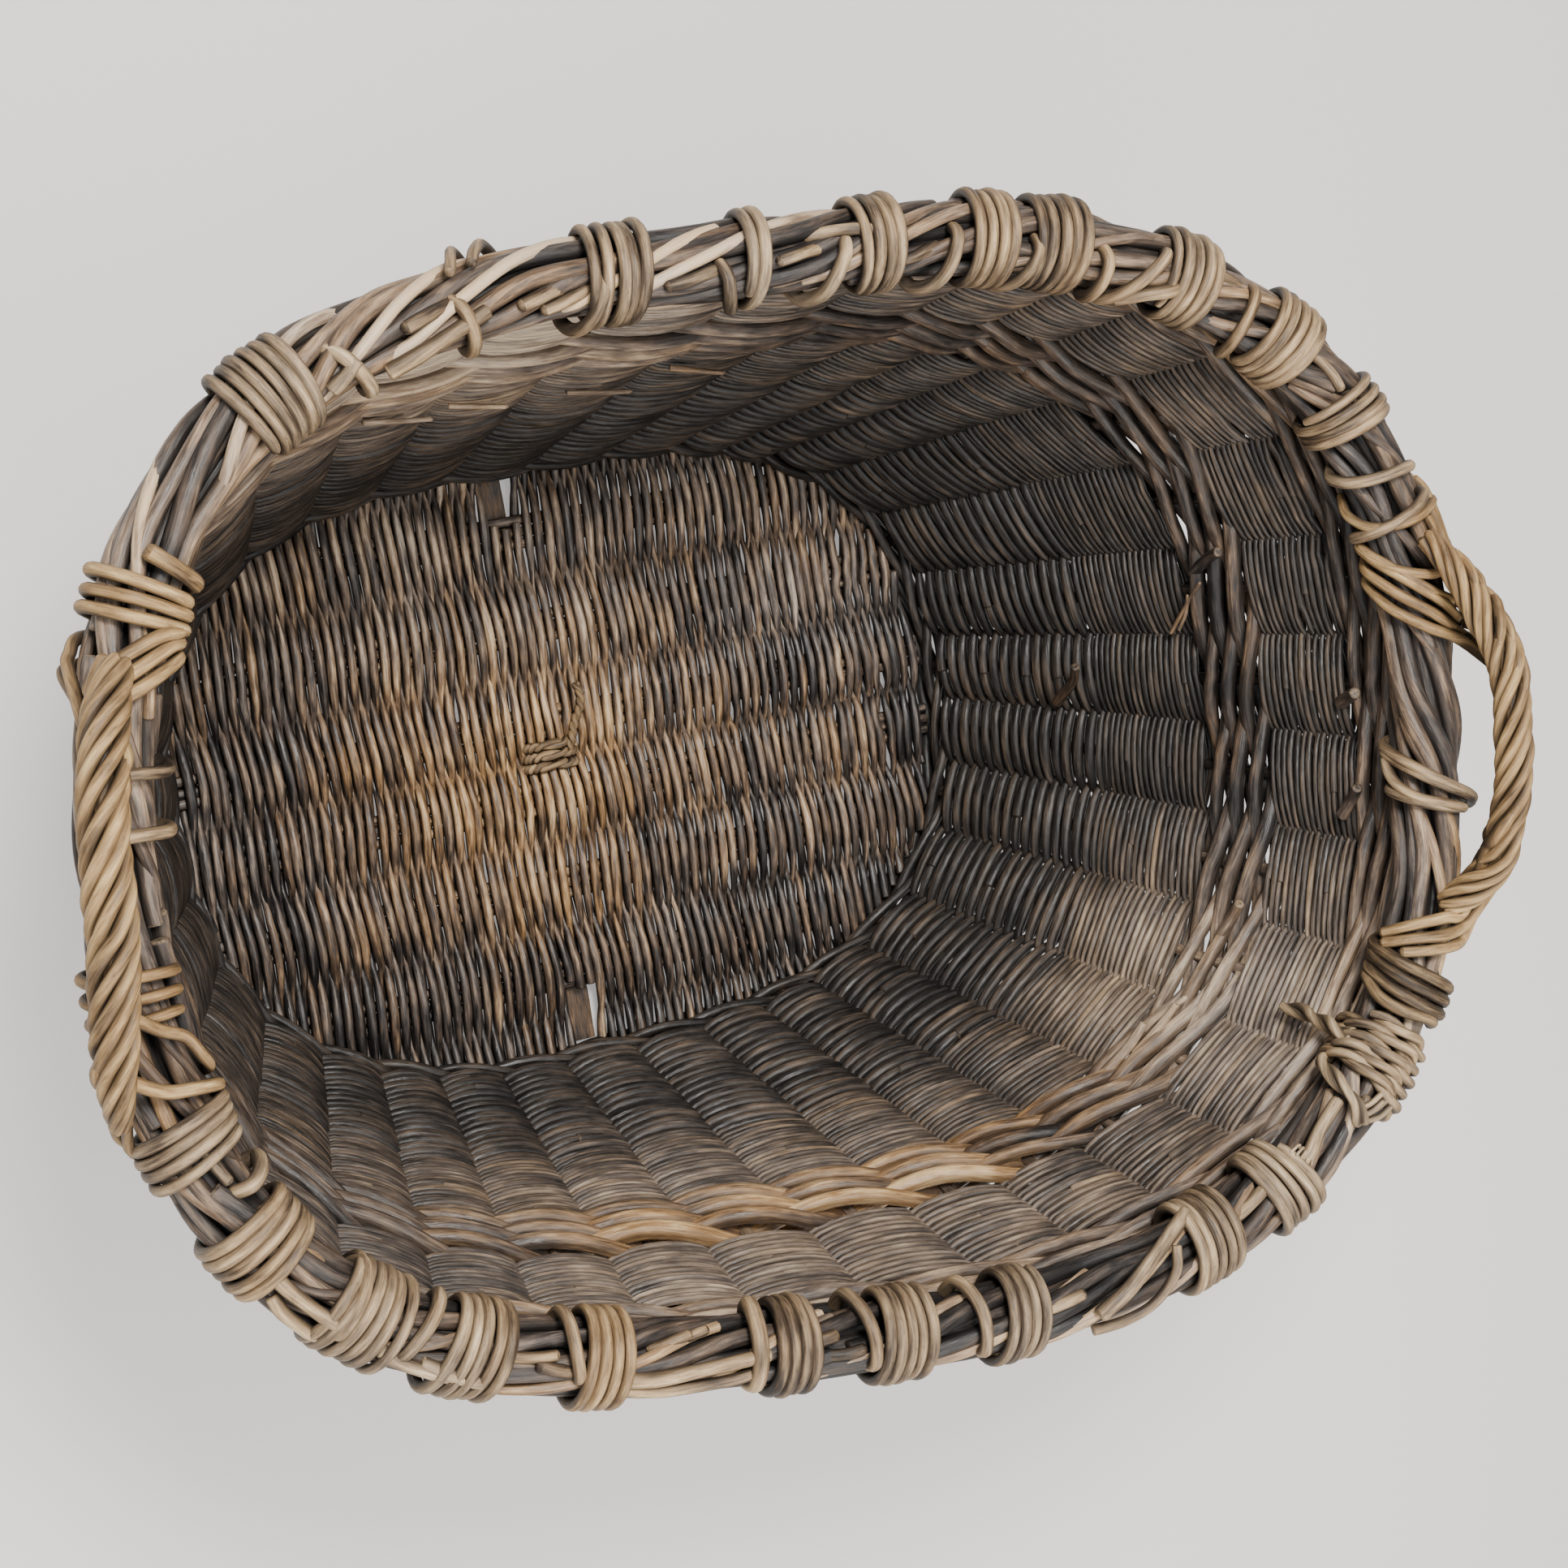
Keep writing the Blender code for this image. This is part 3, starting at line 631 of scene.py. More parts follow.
def side_tone(p, w):
    """How light and how brown the side is at a place: darker low down, paler near the mouth."""
    a = angle_of(p)
    front = np.clip(-np.sin(a) * 1.15 - 0.06, 0, 1)          # -Y wall
    corner = np.exp(-((a + 0.50) / 0.24) ** 2)               # between -Y and +X
    west = np.clip(0.3 - 1.5 * np.cos(a), 0, 1)
    back = np.clip(np.sin(a) * 1.2, 0, 1)
    left = np.clip(-np.cos(a) * 1.4 - 0.5, 0, 1)
    up = np.clip((w - 0.30) / 0.24, 0, 1)
    high = np.clip((w - 0.60) / 0.35, 0, 1)
    tone = 0.235 + 0.04 * high + 0.05 * front
    tone = tone + (0.33 * front + 0.30 * corner) * up * (1 - 0.5 * left) \
        - 0.14 * np.exp(-((a + 0.85) / 0.22) ** 2) * up \
        + back * high * (0.16 + 0.23 * west) + back * up * (0.07 + 0.34 * west)
    tone = tone + 0.10 * (noise3(p, 9.0) - 0.5) + 0.10 * (noise3(p, 26.0, 4.2) - 0.5)
    warm = 0.28 + 0.22 * (noise3(p, 7.0, 9.1) - 0.5) + 0.30 * (noise3(p, 22.0, 2.3) - 0.5)
    return tone, warm


def floor_tone(x, y):
    """Golden and worn left of the middle, darker towards the ends and edges; part of that edge darkening is painted
    shade, and a painted pool of light lies near the middle.
    """
    p = np.stack(np.broadcast_arrays(x, y, np.zeros_like(x * 1.0)), -1)
    gold = np.exp(-((x + 0.045) / 0.165) ** 2 - ((y + 0.010) / 0.150) ** 2)
    patchy = noise3(p, 11.0, 1.7) - 0.5
    tone = 0.34 + 0.23 * gold + 0.20 * patchy + 0.22 * (noise3(p, 34.0, 6.4) - 0.5)
    # lighter towards the +y edge: painted light against the shade of the +Y wall; darker towards the -y edge: painted
    # shade
    tone = tone + 0.15 * np.clip((y - 0.04) / 0.09, 0, 1) - 0.10 * np.clip((-y - 0.09) / 0.07, 0, 1)
    # a lighter spot near the middle: painted pool of light
    tone = tone + 0.13 * np.exp(-((x - 0.01) / 0.08) ** 2 - ((y - 0.02) / 0.07) ** 2)
    warm = 0.22 + 0.64 * gold + 0.40 * (noise3(p, 14.0, 3.9) - 0.5)
    return tone, warm


# ------------------------------------------------------------------ side
rng = np.random.default_rng(21)
PER = 8      # points of a side rod for each stake

# slits that light comes through: stake place, share of the height, half gap, half length in stakes
SLITS = [
    (2.63, 0.884, 0.0026, 0.20), (2.27, 0.921, 0.0030, 0.15), (2.11, 0.922, 0.0022, 0.08),
    (1.65, 0.942, 0.0026, 0.08), (1.32, 0.936, 0.0026, 0.10), (0.68, 0.920, 0.0022, 0.20),
    (0.64, 0.880, 0.0028, 0.14), (0.62, 0.984, 0.0040, 0.24), (0.28, 0.988, 0.0036, 0.20),
    (0.05, 0.667, 0.0030, 0.12), (-0.42, 0.697, 0.0034, 0.12), (-0.79, 0.697, 0.0028, 0.11),
    (-0.70, 0.956, 0.0032, 0.22), (2.56, 0.651, 0.0030, 0.12), (2.15, 0.651, 0.0030, 0.12),
    (1.64, 0.652, 0.0040, 0.22), (-1.33, 0.652, 0.0028, 0.18), (-1.39, 0.697, 0.0026, 0.10),
    (-1.89, 0.660, 0.0024, 0.20), (-2.78, 0.698, 0.0024, 0.08), (-0.47, 0.322, 0.0016, 0.06),
]
for _ in range(8):
    SLITS.append((rng.uniform(4, 30), rng.choice([0.655, 0.697]) + rng.normal(0, 0.003),
                  rng.uniform(0.0018, 0.0028), rng.uniform(0.10, 0.18)))
for _ in range(16):
    SLITS.append((rng.uniform(2, STAKES - 1), rng.choice([0.957, 0.983]) + rng.normal(0, 0.003),
                  rng.uniform(0.0020, 0.0034), rng.uniform(0.12, 0.24)))


def side_shift(u, w):
    """How far a side rod lies above its even place, in metres."""
    d = (0.0030 * np.sin(TAU * (2 * u / STAKES + 0.13) + 3.0 * w)
         + 0.0020 * np.sin(TAU * (5 * u / STAKES + 0.41) - 5.0 * w)
         + 0.0012 * np.sin(TAU * (9 * u / STAKES + 0.77) + 7.0 * w)
         + 0.0008 * np.sin(TAU * (15 * u / STAKES + 0.17) + 23.0 * w))
    d = d * np.clip(np.minimum(w, 1 - w) / 0.15, 0, 1)
    for ug, wg, half, reach in SLITS:
        du = (u - ug + STAKES / 2) % STAKES - STAKES / 2
        b = np.clip(1 - (du / reach) ** 2, 0, 1)
        dw = (w - wg) * WALL_H
        d = d + np.sign(dw) * half * b * np.exp(-np.abs(dw) / 0.010)
    return d


def sag(u, w):
    """On the -Y wall the wale and the rods beside it have slid down."""
    s = np.mod(share_at(u), 1.0)
    b = np.clip(1 - np.abs(s - 0.770) / 0.155, 0, 1)
    b = b * b * (3 - 2 * b)
    return -0.0165 * b * np.interp(w, (0.30, 0.60, 0.70, 0.77, 0.92, 1.0), (0, 0.72, 1, 1, 0.36, 0))


def swing(phase, square=0.60):
    c = np.cos(phase)
    return np.sign(c) * np.abs(c) ** square


def side_round(rods, k, w0, r0, amp, slim, flat, rest=0.0):
    """One round of the side, cut into rods at random stakes."""
    many = int(rng.integers(1, 4))
    starts = np.sort(rng.choice(STAKES, many, replace=False)) + 0.0
    for q in range(many):
        a = starts[q]
        b = starts[(q + 1) % many] + (STAKES if q == many - 1 else 0)
        if b - a < 3:
            b = a + 3
        u = np.arange(a - 0.06, b + 0.10, 1.0 / PER)
        n = len(u)
        along = (u - a) * 0.062
        knots = np.arange(STAKES * 2 + 20) - 2
        pull = np.interp(u, knots, rng.normal(0, 1, len(knots)))
        off = amp * swing(math.pi * (u + k)) * (1 + 0.05 * pull)
        own = wander(rng, along, (3.0, 7.0), 0.00022) \
            + 0.00028 * np.interp(u, knots, rng.normal(0, 1, len(knots)))
        w = w0 + (side_shift(u, w0) + sag(u, w0) + own) / WALL_H
        share = share_at(u)
        c = np.abs(np.cos(math.pi * (u + k)))
        size = float(np.clip(rng.normal(1.0, 0.05), 0.86, 1.12))
        r = r0 * size * (slim + (1 - slim) * c ** 0.6) * np.linspace(1.04, 0.95, n)
        r[-3:] *= (0.95, 0.80, 0.55)
        ns = wall_normal(share, w)
        p = wall(share, w) + ns * off[:, None]
        tone, warm = side_tone(p, w)
        tone = tone + rng.normal(0, 0.022) + 0.040 * wander(rng, along, (5.0, 13.0), 1.0)
        tone = tone + 0.07 * (c - 0.75)          # lighter where it stands proud of the weave, darker where it dives: partly wear, partly painted highlight and painted shade
        warm = warm + rng.normal(0, 0.07)
        if rng.random() < 0.02:                  # a rod whose bark has gone
            tone, warm = tone + 0.10, warm + 0.25
        rods.rod(p, r, rng, ref=ns, flat=flat, tone=tone, warm=warm, ends=("cut", "tip"))


def zone(rods, first, lo, hi, count, r0, amp, slim, flat, part=(0.0, 1.0)):
    for k in range(count):
        f = (k + 0.5) / count
        if part[0] <= f < part[1]:
            side_round(rods, first + k, lo + (hi - lo) * f, r0, amp, slim, flat)


def tan_stretch(share):
    """The stretch of the -Y wall where the wale keeps its orange-brown bark."""
    s = np.mod(share, 1.0)
    return np.clip(1.15 - np.abs(s - 0.765) / 0.125, 0, 1)


def wale(rods, w0, r0, amp, rise, shift, strands=3, tone_add=0.0, warm_add=0.0, tan=0.0):
    """Rods that twist round the stakes, one inside while the others pass outside."""
    a = float(rng.integers(0, STAKES)) + 0.3
    for j in range(strands):
        u = np.arange(a, a + STAKES + 0.05, 1.0 / 8)
        th = TAU * ((u + shift) / 3 + j / strands)
        gold = tan_stretch(share_at(u)) * tan
        off = -amp * (np.cos(th) * 0.95 + 0.10) * (1 + 0.50 * gold)
        crest = 0.5 * (1 + np.cos(th))
        along = (u - a) * 0.062
        d = rise * (1 + 0.12 * gold) * np.sin(th) + side_shift(u, w0) * 0.8 + sag(u, w0) \
            + wander(rng, along, (2.0, 5.0), 0.0007)
        w = w0 + d / WALL_H
        share = share_at(u)
        ns = wall_normal(share, w)
        p = wall(share, w) + ns * off[:, None]
        r = r0 * rng.normal(1, 0.04) * (1 + 0.08 * wander(rng, along, (0.8, 2.5), 1.0))
        r = np.maximum(r, 0.72 * r0) * (1 + 0.10 * gold * crest)
        tone, warm = side_tone(p, w)
        piece = np.interp(u, np.arange(-4, 90) * 1.5, rng.normal(0, 1, 94))
        # orange-brown bark along the tan stretch, and on every wale lighter, golden crests and darker valleys: painted
        # highlight and painted shade
        tone = tone + tone_add + gold * (0.10 * piece - 0.09 + 0.34 * (crest - 0.5)) + 0.06 * (crest - 0.5) \
            + 0.04 * wander(rng, along, (1.7, 6.0), 1.0)
        warm = warm + warm_add + gold * (0.40 + 0.28 * piece + 0.26 * crest) \
            + 0.10 * wander(rng, along, (1.3, 4.0), 1.0)
        rods.rod(p, r, rng, ref=ns, flat=1.0, tone=tone, warm=warm, ends=("cut", "tip"), sides=9)


lower = [Rods(8, True), Rods(8, True), Rods(8, True)]
for i, part in enumerate(((0.0, 0.31), (0.31, 0.65), (0.65, 1.01))):
    zone(lower[i], 0, THICK[0], THICK[1], 30, 0.00445, 0.0080, 0.72, 0.94, part)
wale(lower[0], 0.010, 0.0038, 0.0080, 0.0034, 0.0)
lower[0].build("lower_weave_rods_1", MAT_SIDE, "side_willow", ("lower_weave_1",))
lower[1].build("lower_weave_rods_2", MAT_SIDE, "side_willow", ("lower_weave_2",))
lower[2].build("lower_weave_rods_3", MAT_SIDE, "side_willow", ("lower_weave_3",))

middle = [Rods(7, True), Rods(7, True)]
for i, part in enumerate(((0.0, 0.5), (0.5, 1.01))):
    zone(middle[i], 0, FINE_1[0], FINE_1[1], 36, 0.00268, 0.0070, 0.68, 1.00, part)
middle[0].build("middle_weave_rods_1", MAT_SIDE, "side_willow", ("middle_weave_1",))
middle[1].build("middle_weave_rods_2", MAT_SIDE, "side_willow", ("middle_weave_2",))

mid = Rods(9, True)
for j, w0 in enumerate(WALE):
    wale(mid, w0, 0.0056, 0.0096, 0.0072, j * 1.0, tan=1.0)
mid.build("mid_wale_rods", MAT_WALE, "brown_wale", ("mid_wale",))

upper = [Rods(7, True), Rods(7, True)]
for i, part in enumerate(((0.0, 0.5), (0.5, 1.01))):
    zone(upper[i], 1, FINE_2[0], FINE_2[1], 28, 0.00250, 0.0070, 0.70, 1.00, part)
upper[0].build("upper_weave_rods_1", MAT_SIDE, "side_willow", ("upper_weave_1",))
upper[1].build("upper_weave_rods_2", MAT_SIDE, "side_willow", ("upper_weave_2",))

top = Rods(9, True)
for j, w0 in enumerate(TOP):
    wale(top, w0, 0.0050, 0.0090, 0.0050, 0.7 + j)
drawn = rng.bit_generator.state
wale(top, 1.0175, 0.0044, 0.0080, 0.0040, 1.9)
rng.bit_generator.state = drawn
top.build("top_wale_rods", MAT_WALE, "brown_wale", ("top_wale",))


# ------------------------------------------------------------------ stakes and foot
stakes = Rods(8)
for i in range(STAKES):
    share = STAKE_AT[i]
    w = np.concatenate([[-0.020], np.linspace(0.0, 1.0, 22)])
    p = list(wall(np.full(len(w), share) + 0.0005 * np.sin(w * 9 + i), w))
    p[0][2] = 0.004
    run = rng.uniform(0.075, 0.105)
    tilt = rng.uniform(-14, 14)
    deep = rng.uniform(-0.0012, 0.0008)
    for f, ang, rho in ((0.04, -92, 0.020), (0.12, -72, 0.0195), (0.26, -38, 0.0200), (0.42, 4, 0.0204),
                        (0.60, 52, 0.0206), (0.78, 98, 0.0204), (0.92, 138, 0.0196), (1.0, 160, 0.0180)):
        q, _ = roll(share + run * f, math.radians(ang + tilt), rho + deep)
        p.append(q)
    p = smooth_line(p, 96)
    c2 = np.concatenate([RIM.at(share_at(stake_place(share)) + 0 * p[:, 0]), 0 * p[:, :1]], 1)
    r = np.concatenate([np.linspace(0.0046, 0.0041, 64), np.linspace(0.0041, 0.0036, 32)]) * rng.normal(1, 0.05)
    wv = np.linspace(0, 1.2, 96)
    tone, warm = side_tone(p, np.clip(wv, 0, 1))
    own = rng.normal(0, 0.05)
    kind = rng.random()
    tone = tone + own + np.where(wv > 0.9, 0.10 + (0.10 if kind < 0.25 else 0.0), 0.0)
    warm = warm + np.where(wv > 0.9, 0.12 + (0.25 if kind < 0.25 else 0.0), 0.0)
    stakes.rod(p, r, rng, tone=tone, warm=warm, ends=("cut", "cut"))
stakes.build("stake_rods", MAT_BORDER, "stake_willow", ("side_stakes",))

foot = Rods(10)
for j in range(3):
    u = np.arange(0, (STAKES - 1) * 6) / 6.0 * STAKES / (STAKES - 1)
    th = TAU * (u / STAKES * (STAKES - 1) / 3 + j / 3)
    share = share_at(u)
    n2 = FLOOR.normal(share)
    base = wall_low(share)
    base[:, 2] = 0.0096
    out = np.concatenate([n2, np.zeros((len(u), 1))], 1)
    p = base + out * (0.0050 * np.cos(th))[:, None]
    p[:, 2] += 0.0040 * np.sin(th)
    tone, warm = side_tone(p, np.zeros(len(u)))
    foot.rod(p, 0.0047 * (1 + 0.05 * np.sin(th * 0.37 + j)), rng, closed=True,
             ref=out, tone=tone + 0.04, warm=warm + 0.08)
foot.build("foot_rods", MAT_SIDE, "stake_willow", ("foot_hoop",))


# ------------------------------------------------------------------ floor
def floor_limit(value, along_x):
    """Where a floor line at local y (or x) meets the floor edge, low and high."""
    a = FLOOR_LOCAL
    b = np.roll(a, -1, 0)
    ua, va = (a[:, 1], a[:, 0]) if along_x else (a[:, 0], a[:, 1])
    ub, vb = (b[:, 1], b[:, 0]) if along_x else (b[:, 0], b[:, 1])
    hit = (ua - value) * (ub - value) <= 0
    hit &= ua != ub
    v = va[hit] + (vb[hit] - va[hit]) * (value - ua[hit]) / (ub[hit] - ua[hit])
    return float(v.min()), float(v.max())


ROWS = np.array(FLOOR_ROWS)
WEAVERS = 146
PITCH = 0.00412
STICK_R = 0.0042
STICK_GAP = 0.0086
LIFT = 0.0066

# openings in the floor: local place, half gap, half length along the rods
HOLES = []
for _ in range(44):
    row = rng.integers(0, 5)
    y0 = 0.5 * (FLOOR_ROWS[row] + FLOOR_ROWS[row + 1]) + rng.normal(0, 0.014)
    HOLES.append((rng.uniform(-0.27, 0.27), y0, rng.uniform(0.0007, 0.0016), rng.uniform(0.007, 0.013)))
for _ in range(16):                        # the worn-out end by the +X wall
    HOLES.append((rng.uniform(0.225, 0.285), rng.uniform(-0.11, 0.14), rng.uniform(0.0012, 0.0030),
                  rng.uniform(0.010, 0.018)))
HOLES += [(0.0080, 0.019, 0.0030, 0.016), (-0.0030, 0.042, 0.0026, 0.016), (0.0120, -0.012, 0.0014, 0.012)]


def floor_height(y, parity):
    """The up and down of a cross rod along local y, -1 to 1."""
    ends = np.concatenate([[ROWS[0] - 0.066], ROWS, [ROWS[-1] + 0.066]])
    sign = np.array([(-1.0) ** (j + parity) for j in range(-1, len(ROWS) + 1)])
    k = np.clip(np.searchsorted(ends, y) - 1, 0, len(ends) - 2)
    f = (y - ends[k]) / (ends[k + 1] - ends[k])
    c = np.cos(math.pi * f)
    return sign[k] * np.sign(c) * np.abs(c) ** 0.72, np.abs(c)


def part_from_holes(x0, y):
    d = np.zeros_like(y)
    for hx, hy, half, reach in HOLES:
        b = np.clip(1 - ((y - hy) / reach) ** 2, 0, 1)
        dx = x0 - hx
        d = d + (1.0 if dx > 0 else -1.0) * half * b * math.exp(-abs(dx) / 0.008)
    return d


for k in range(6):
    y = FLOOR_ROWS[k]
    bundle = Rods(9)
    for j in (-1, 0, 1):
        yy = y + j * STICK_GAP
        lo, hi = floor_limit(yy, True)
        x = np.linspace(lo - 0.004, hi + 0.004, 90)
        wob = wander(rng, x, (3.0, 9.0), 0.0004)
        p = place(x, yy + wob, FLOOR_Z + wander(rng, x, (4.0, 11.0), 0.0002))
        tone, warm = floor_tone(x, np.full(90, yy))
        bundle.rod(p, STICK_R * rng.normal(1, 0.02), rng, ref=(0, 0, 1), flat=0.66,
                   tone=tone + 0.02 + rng.normal(0, 0.03), warm=warm, ends=("cut", "cut"))
    bundle.build("floor_stick_rods_%d" % (k + 1), MAT_FLOOR, "floor_stick", ("floor_stick_%d" % (k + 1),))

# the seven groups of the floor weave, split where the part splits them
HALF = BASE_A * SCALE - 0.0185
EDGES = [-HALF + i * (HALF + MIDDLE_X - 0.0218) / 3 for i in range(3)]
EDGES += [MIDDLE_X - 0.0194, MIDDLE_X + 0.0194]
EDGES += [MIDDLE_X + 0.0218 + (i + 1) * (HALF - MIDDLE_X - 0.0218) / 3 for i in range(2)]
groups = [Rods(8, True) for _ in range(7)]
for k in range(WEAVERS):
    x0 = (k - (WEAVERS - 1) / 2) * PITCH
    g = int(np.searchsorted(EDGES[1:], x0))
    x0 += rng.normal(0, 0.00022)
    lo, hi = floor_limit(x0, False)
    lo, hi = lo - 0.006, hi + 0.006
    if abs(x0 - LATH_X) < 0.0125:         # the lath shows at both ends
        hi = 0.1830 + rng.normal(0, 0.002)
        lo = -0.1750 + rng.normal(0, 0.002)
    n = max(24, int((hi - lo) / 0.0048))
    y = np.linspace(lo, hi, n)
    h, c = floor_height(y, k)
    drift = wander(rng, y, (2.5, 6.0), 0.00040) + 0.0006 * np.sin(y * 30 + k * 0.21)
    lean = 0.0014 * np.sin(TAU * (y / 0.13) + 0.05 * k)
    x = x0 + drift + lean + part_from_holes(x0, y)
    size = float(np.clip(rng.normal(1.0, 0.06), 0.84, 1.12))
    r = 0.00395 * size * (0.60 + 0.40 * c ** 0.55)
    z = FLOOR_Z + h * (LIFT + 0.0002 * rng.normal())
    z = np.maximum(z, r + 0.0008)
    p = place(x, y, z)
    tone, warm = floor_tone(x, y)
    # each stretch that passes over a bundle wears on its own
    piece = np.interp(y, np.linspace(-0.3, 0.3, 14), rng.normal(0, 1, 14))
    # lighter where it rides over a bundle, darker where it dips under: partly wear, partly painted highlight and
    # painted shade
    tone = tone + rng.normal(0, 0.035) + 0.055 * piece + 0.11 * (c - 0.60)
    warm = warm + rng.normal(0, 0.12) + 0.08 * piece
    flip = rng.random() < 0.5
    if flip:
        p, r, tone, warm = p[::-1], r[::-1], tone[::-1], warm[::-1]
    groups[g].rod(p, r, rng, ref=(0, 0, 1), flat=0.92, tone=tone, warm=warm,
                  ends=("cut", "cut"))
for g in range(7):
    groups[g].build("floor_weave_rods_%d" % (g + 1), MAT_FLOOR, "floor_willow",
                    ("floor_weave_%d" % (g + 1),))


def lath_piece():
    """A split lath under the floor: a rounded bar with a slightly wavy edge."""
    lo, hi = floor_limit(LATH_X, False)
    n = 60
    y = np.linspace(lo - 0.002, hi + 0.002, n)
    z1 = FLOOR_Z - 0.0025 - 0.0004 - 0.0042 - 0.0004
    sec = []
    for i in range(n):
        w = 0.0095 + 0.0005 * math.sin(y[i] * 55) + 0.0003 * math.sin(y[i] * 131 + 1)
        c = 0.0011
        zt = z1 + 0.0003 * math.sin(y[i] * 47)
        sec.append([(-w + c, zt - 0.0046), (w - c, zt - 0.0046), (w, zt - 0.0046 + c), (w, zt - c),
                    (w - c, zt), (0.3 * w, zt + 0.0002), (-0.3 * w, zt + 0.0001), (-w + c, zt), (-w, zt - c), (-w, zt - 0.0046 + c)])
    sec = np.array(sec)
    r = Rods(10)
    ring = place(sec[:, :, 0] + LATH_X, y[:, None] + 0 * sec[:, :, 0], sec[:, :, 1])
    far = np.array([3.0, 5.0, 1.0])
    local = np.stack([sec[:, :, 0] + far[0], sec[:, :, 1] + far[1], y[:, None] + 0 * sec[:, :, 0] + far[2]], -1)
    look = np.empty((n, 10, 4))
    look[..., 0], look[..., 1], look[..., 2], look[..., 3] = 0.42, 0.75, 0.5, 0.0
    at = r._put(ring.reshape(-1, 3), local.reshape(-1, 3), look.reshape(-1, 4))
    for i in range(n - 1):
        for j in range(10):
            a, b = at + i * 10 + j, at + i * 10 + (j + 1) % 10
            r.faces.append(np.array([a, a + 10, b + 10, b])[::-1])
            r.uv.append(np.array([[y[i] - y[0], y[1] - y[0], j / 10, 0.1]]))
    r.sizes.append(np.full((n - 1) * 10, 4))
    r.smooth.append(np.zeros((n - 1) * 10, bool))
    r.slot.append(np.zeros((n - 1) * 10, int))
    for i, rev in ((0, False), (n - 1, True)):
        ids = at + i * 10 + np.arange(10)
        c = r._put(ring[i].mean(0)[None], local[i].mean(0)[None], look[i][:1])
        tri = []
        for j in range(10):
            t = [ids[j], ids[(j + 1) % 10], c]
            tri += t[::-1] if not rev else t
            r.uv.append(np.array([[y[-1] - y[0] + 0.01, 0.001, j / 10, -0.1]]))
        r.faces.append(np.array(tri))
        r.sizes.append(np.full(10, 3))
        r.smooth.append(np.zeros(10, bool))
        r.slot.append(np.zeros(10, int))
    r.strip = float(y[-1] - y[0]) + 0.02
    r.around = [(0.045, float(y[-1] - y[0]))]
    return r.build("lath_wood", MAT_WALE, "lath_wood", ("cross_lath",))


lath_piece()

tie = Rods(8)
z_low, z_high = 0.0031, 0.0262
for j in range(3):
    y0 = TIE_Y - 0.0082 + j * 0.0084
    th = np.linspace(0, TAU, 73)[:-1]
    cx = 0.0200 * np.sign(np.cos(th)) * np.abs(np.cos(th)) ** 0.45
    cz = (z_high + z_low) / 2 + (z_high - z_low) / 2 * np.sign(np.sin(th)) * np.abs(np.sin(th)) ** 0.7
    for s in (0, 1):
        a = th * 9 + math.pi * s + j
        up = place(cx, 0.0 * th, cz) - place(0.0, 0.0, (z_high + z_low) / 2)
        up = unit(up)
        p = place(cx + MIDDLE_X - 0.0004, y0 + 0.0019 * np.cos(a) + 0.0005 * np.sin(th + j), cz) \
            + up * (0.0019 * np.sin(a))[:, None]
        p[:, 2] = np.maximum(p[:, 2], 0.0024)
        tie.rod(p, 0.0025, rng, closed=True, ref=up, tone=0.47 + 0.04 * rng.normal(), warm=0.55)
tail = smooth_line([place(-0.004, 0.004, 0.025), place(-0.001, 0.015, 0.0295), place(0.003, 0.026, 0.0295),
                    place(0.009, 0.036, 0.0290), place(0.0115, 0.045, 0.0275), place(0.0110, 0.053, 0.0240)], 60)
along = np.linspace(0, 1, 60)
for s in (0, 1):
    a = along * TAU * 4.0 + math.pi * s
    p = tail.copy()
    p[:, 0] += 0.0015 * np.cos(a)
    p[:, 2] += 0.0015 * np.sin(a)
    tie.rod(p, 0.0021, rng, tone=0.46, warm=0.60, ends=("cut", "tip"))
tie.build("centre_binding_rods", MAT_STRAW, "straw_lashing", ("centre_binding",))


# ------------------------------------------------------------------ border
def border_tone(p):
    a = angle_of(p)
    tone = 0.415 + 0.12 * (noise3(p, 8.0, 5.5) - 0.5) + 0.14 * (noise3(p, 24.0, 8.5) - 0.5)
    tone = tone - 0.08 * np.clip(-np.sin(a), 0, 1) + 0.12 * np.clip(-np.cos(a) - 0.1, 0, 1) \
        - 0.17 * np.clip(1 - np.abs(np.cos(a)) * 1.7, 0, 1)
    warm = 0.18 + 0.40 * (noise3(p, 10.0, 7.1) - 0.5)
    return tone, warm


def straw_tone(p):
    tone = 0.50 + 0.16 * (noise3(p, 14.0, 2.2) - 0.5) + 0.20 * (noise3(p, 60.0, 5.0) - 0.5)
    warm = 0.36 + 0.50 * (noise3(p, 12.0, 6.6) - 0.5)
    return tone, warm


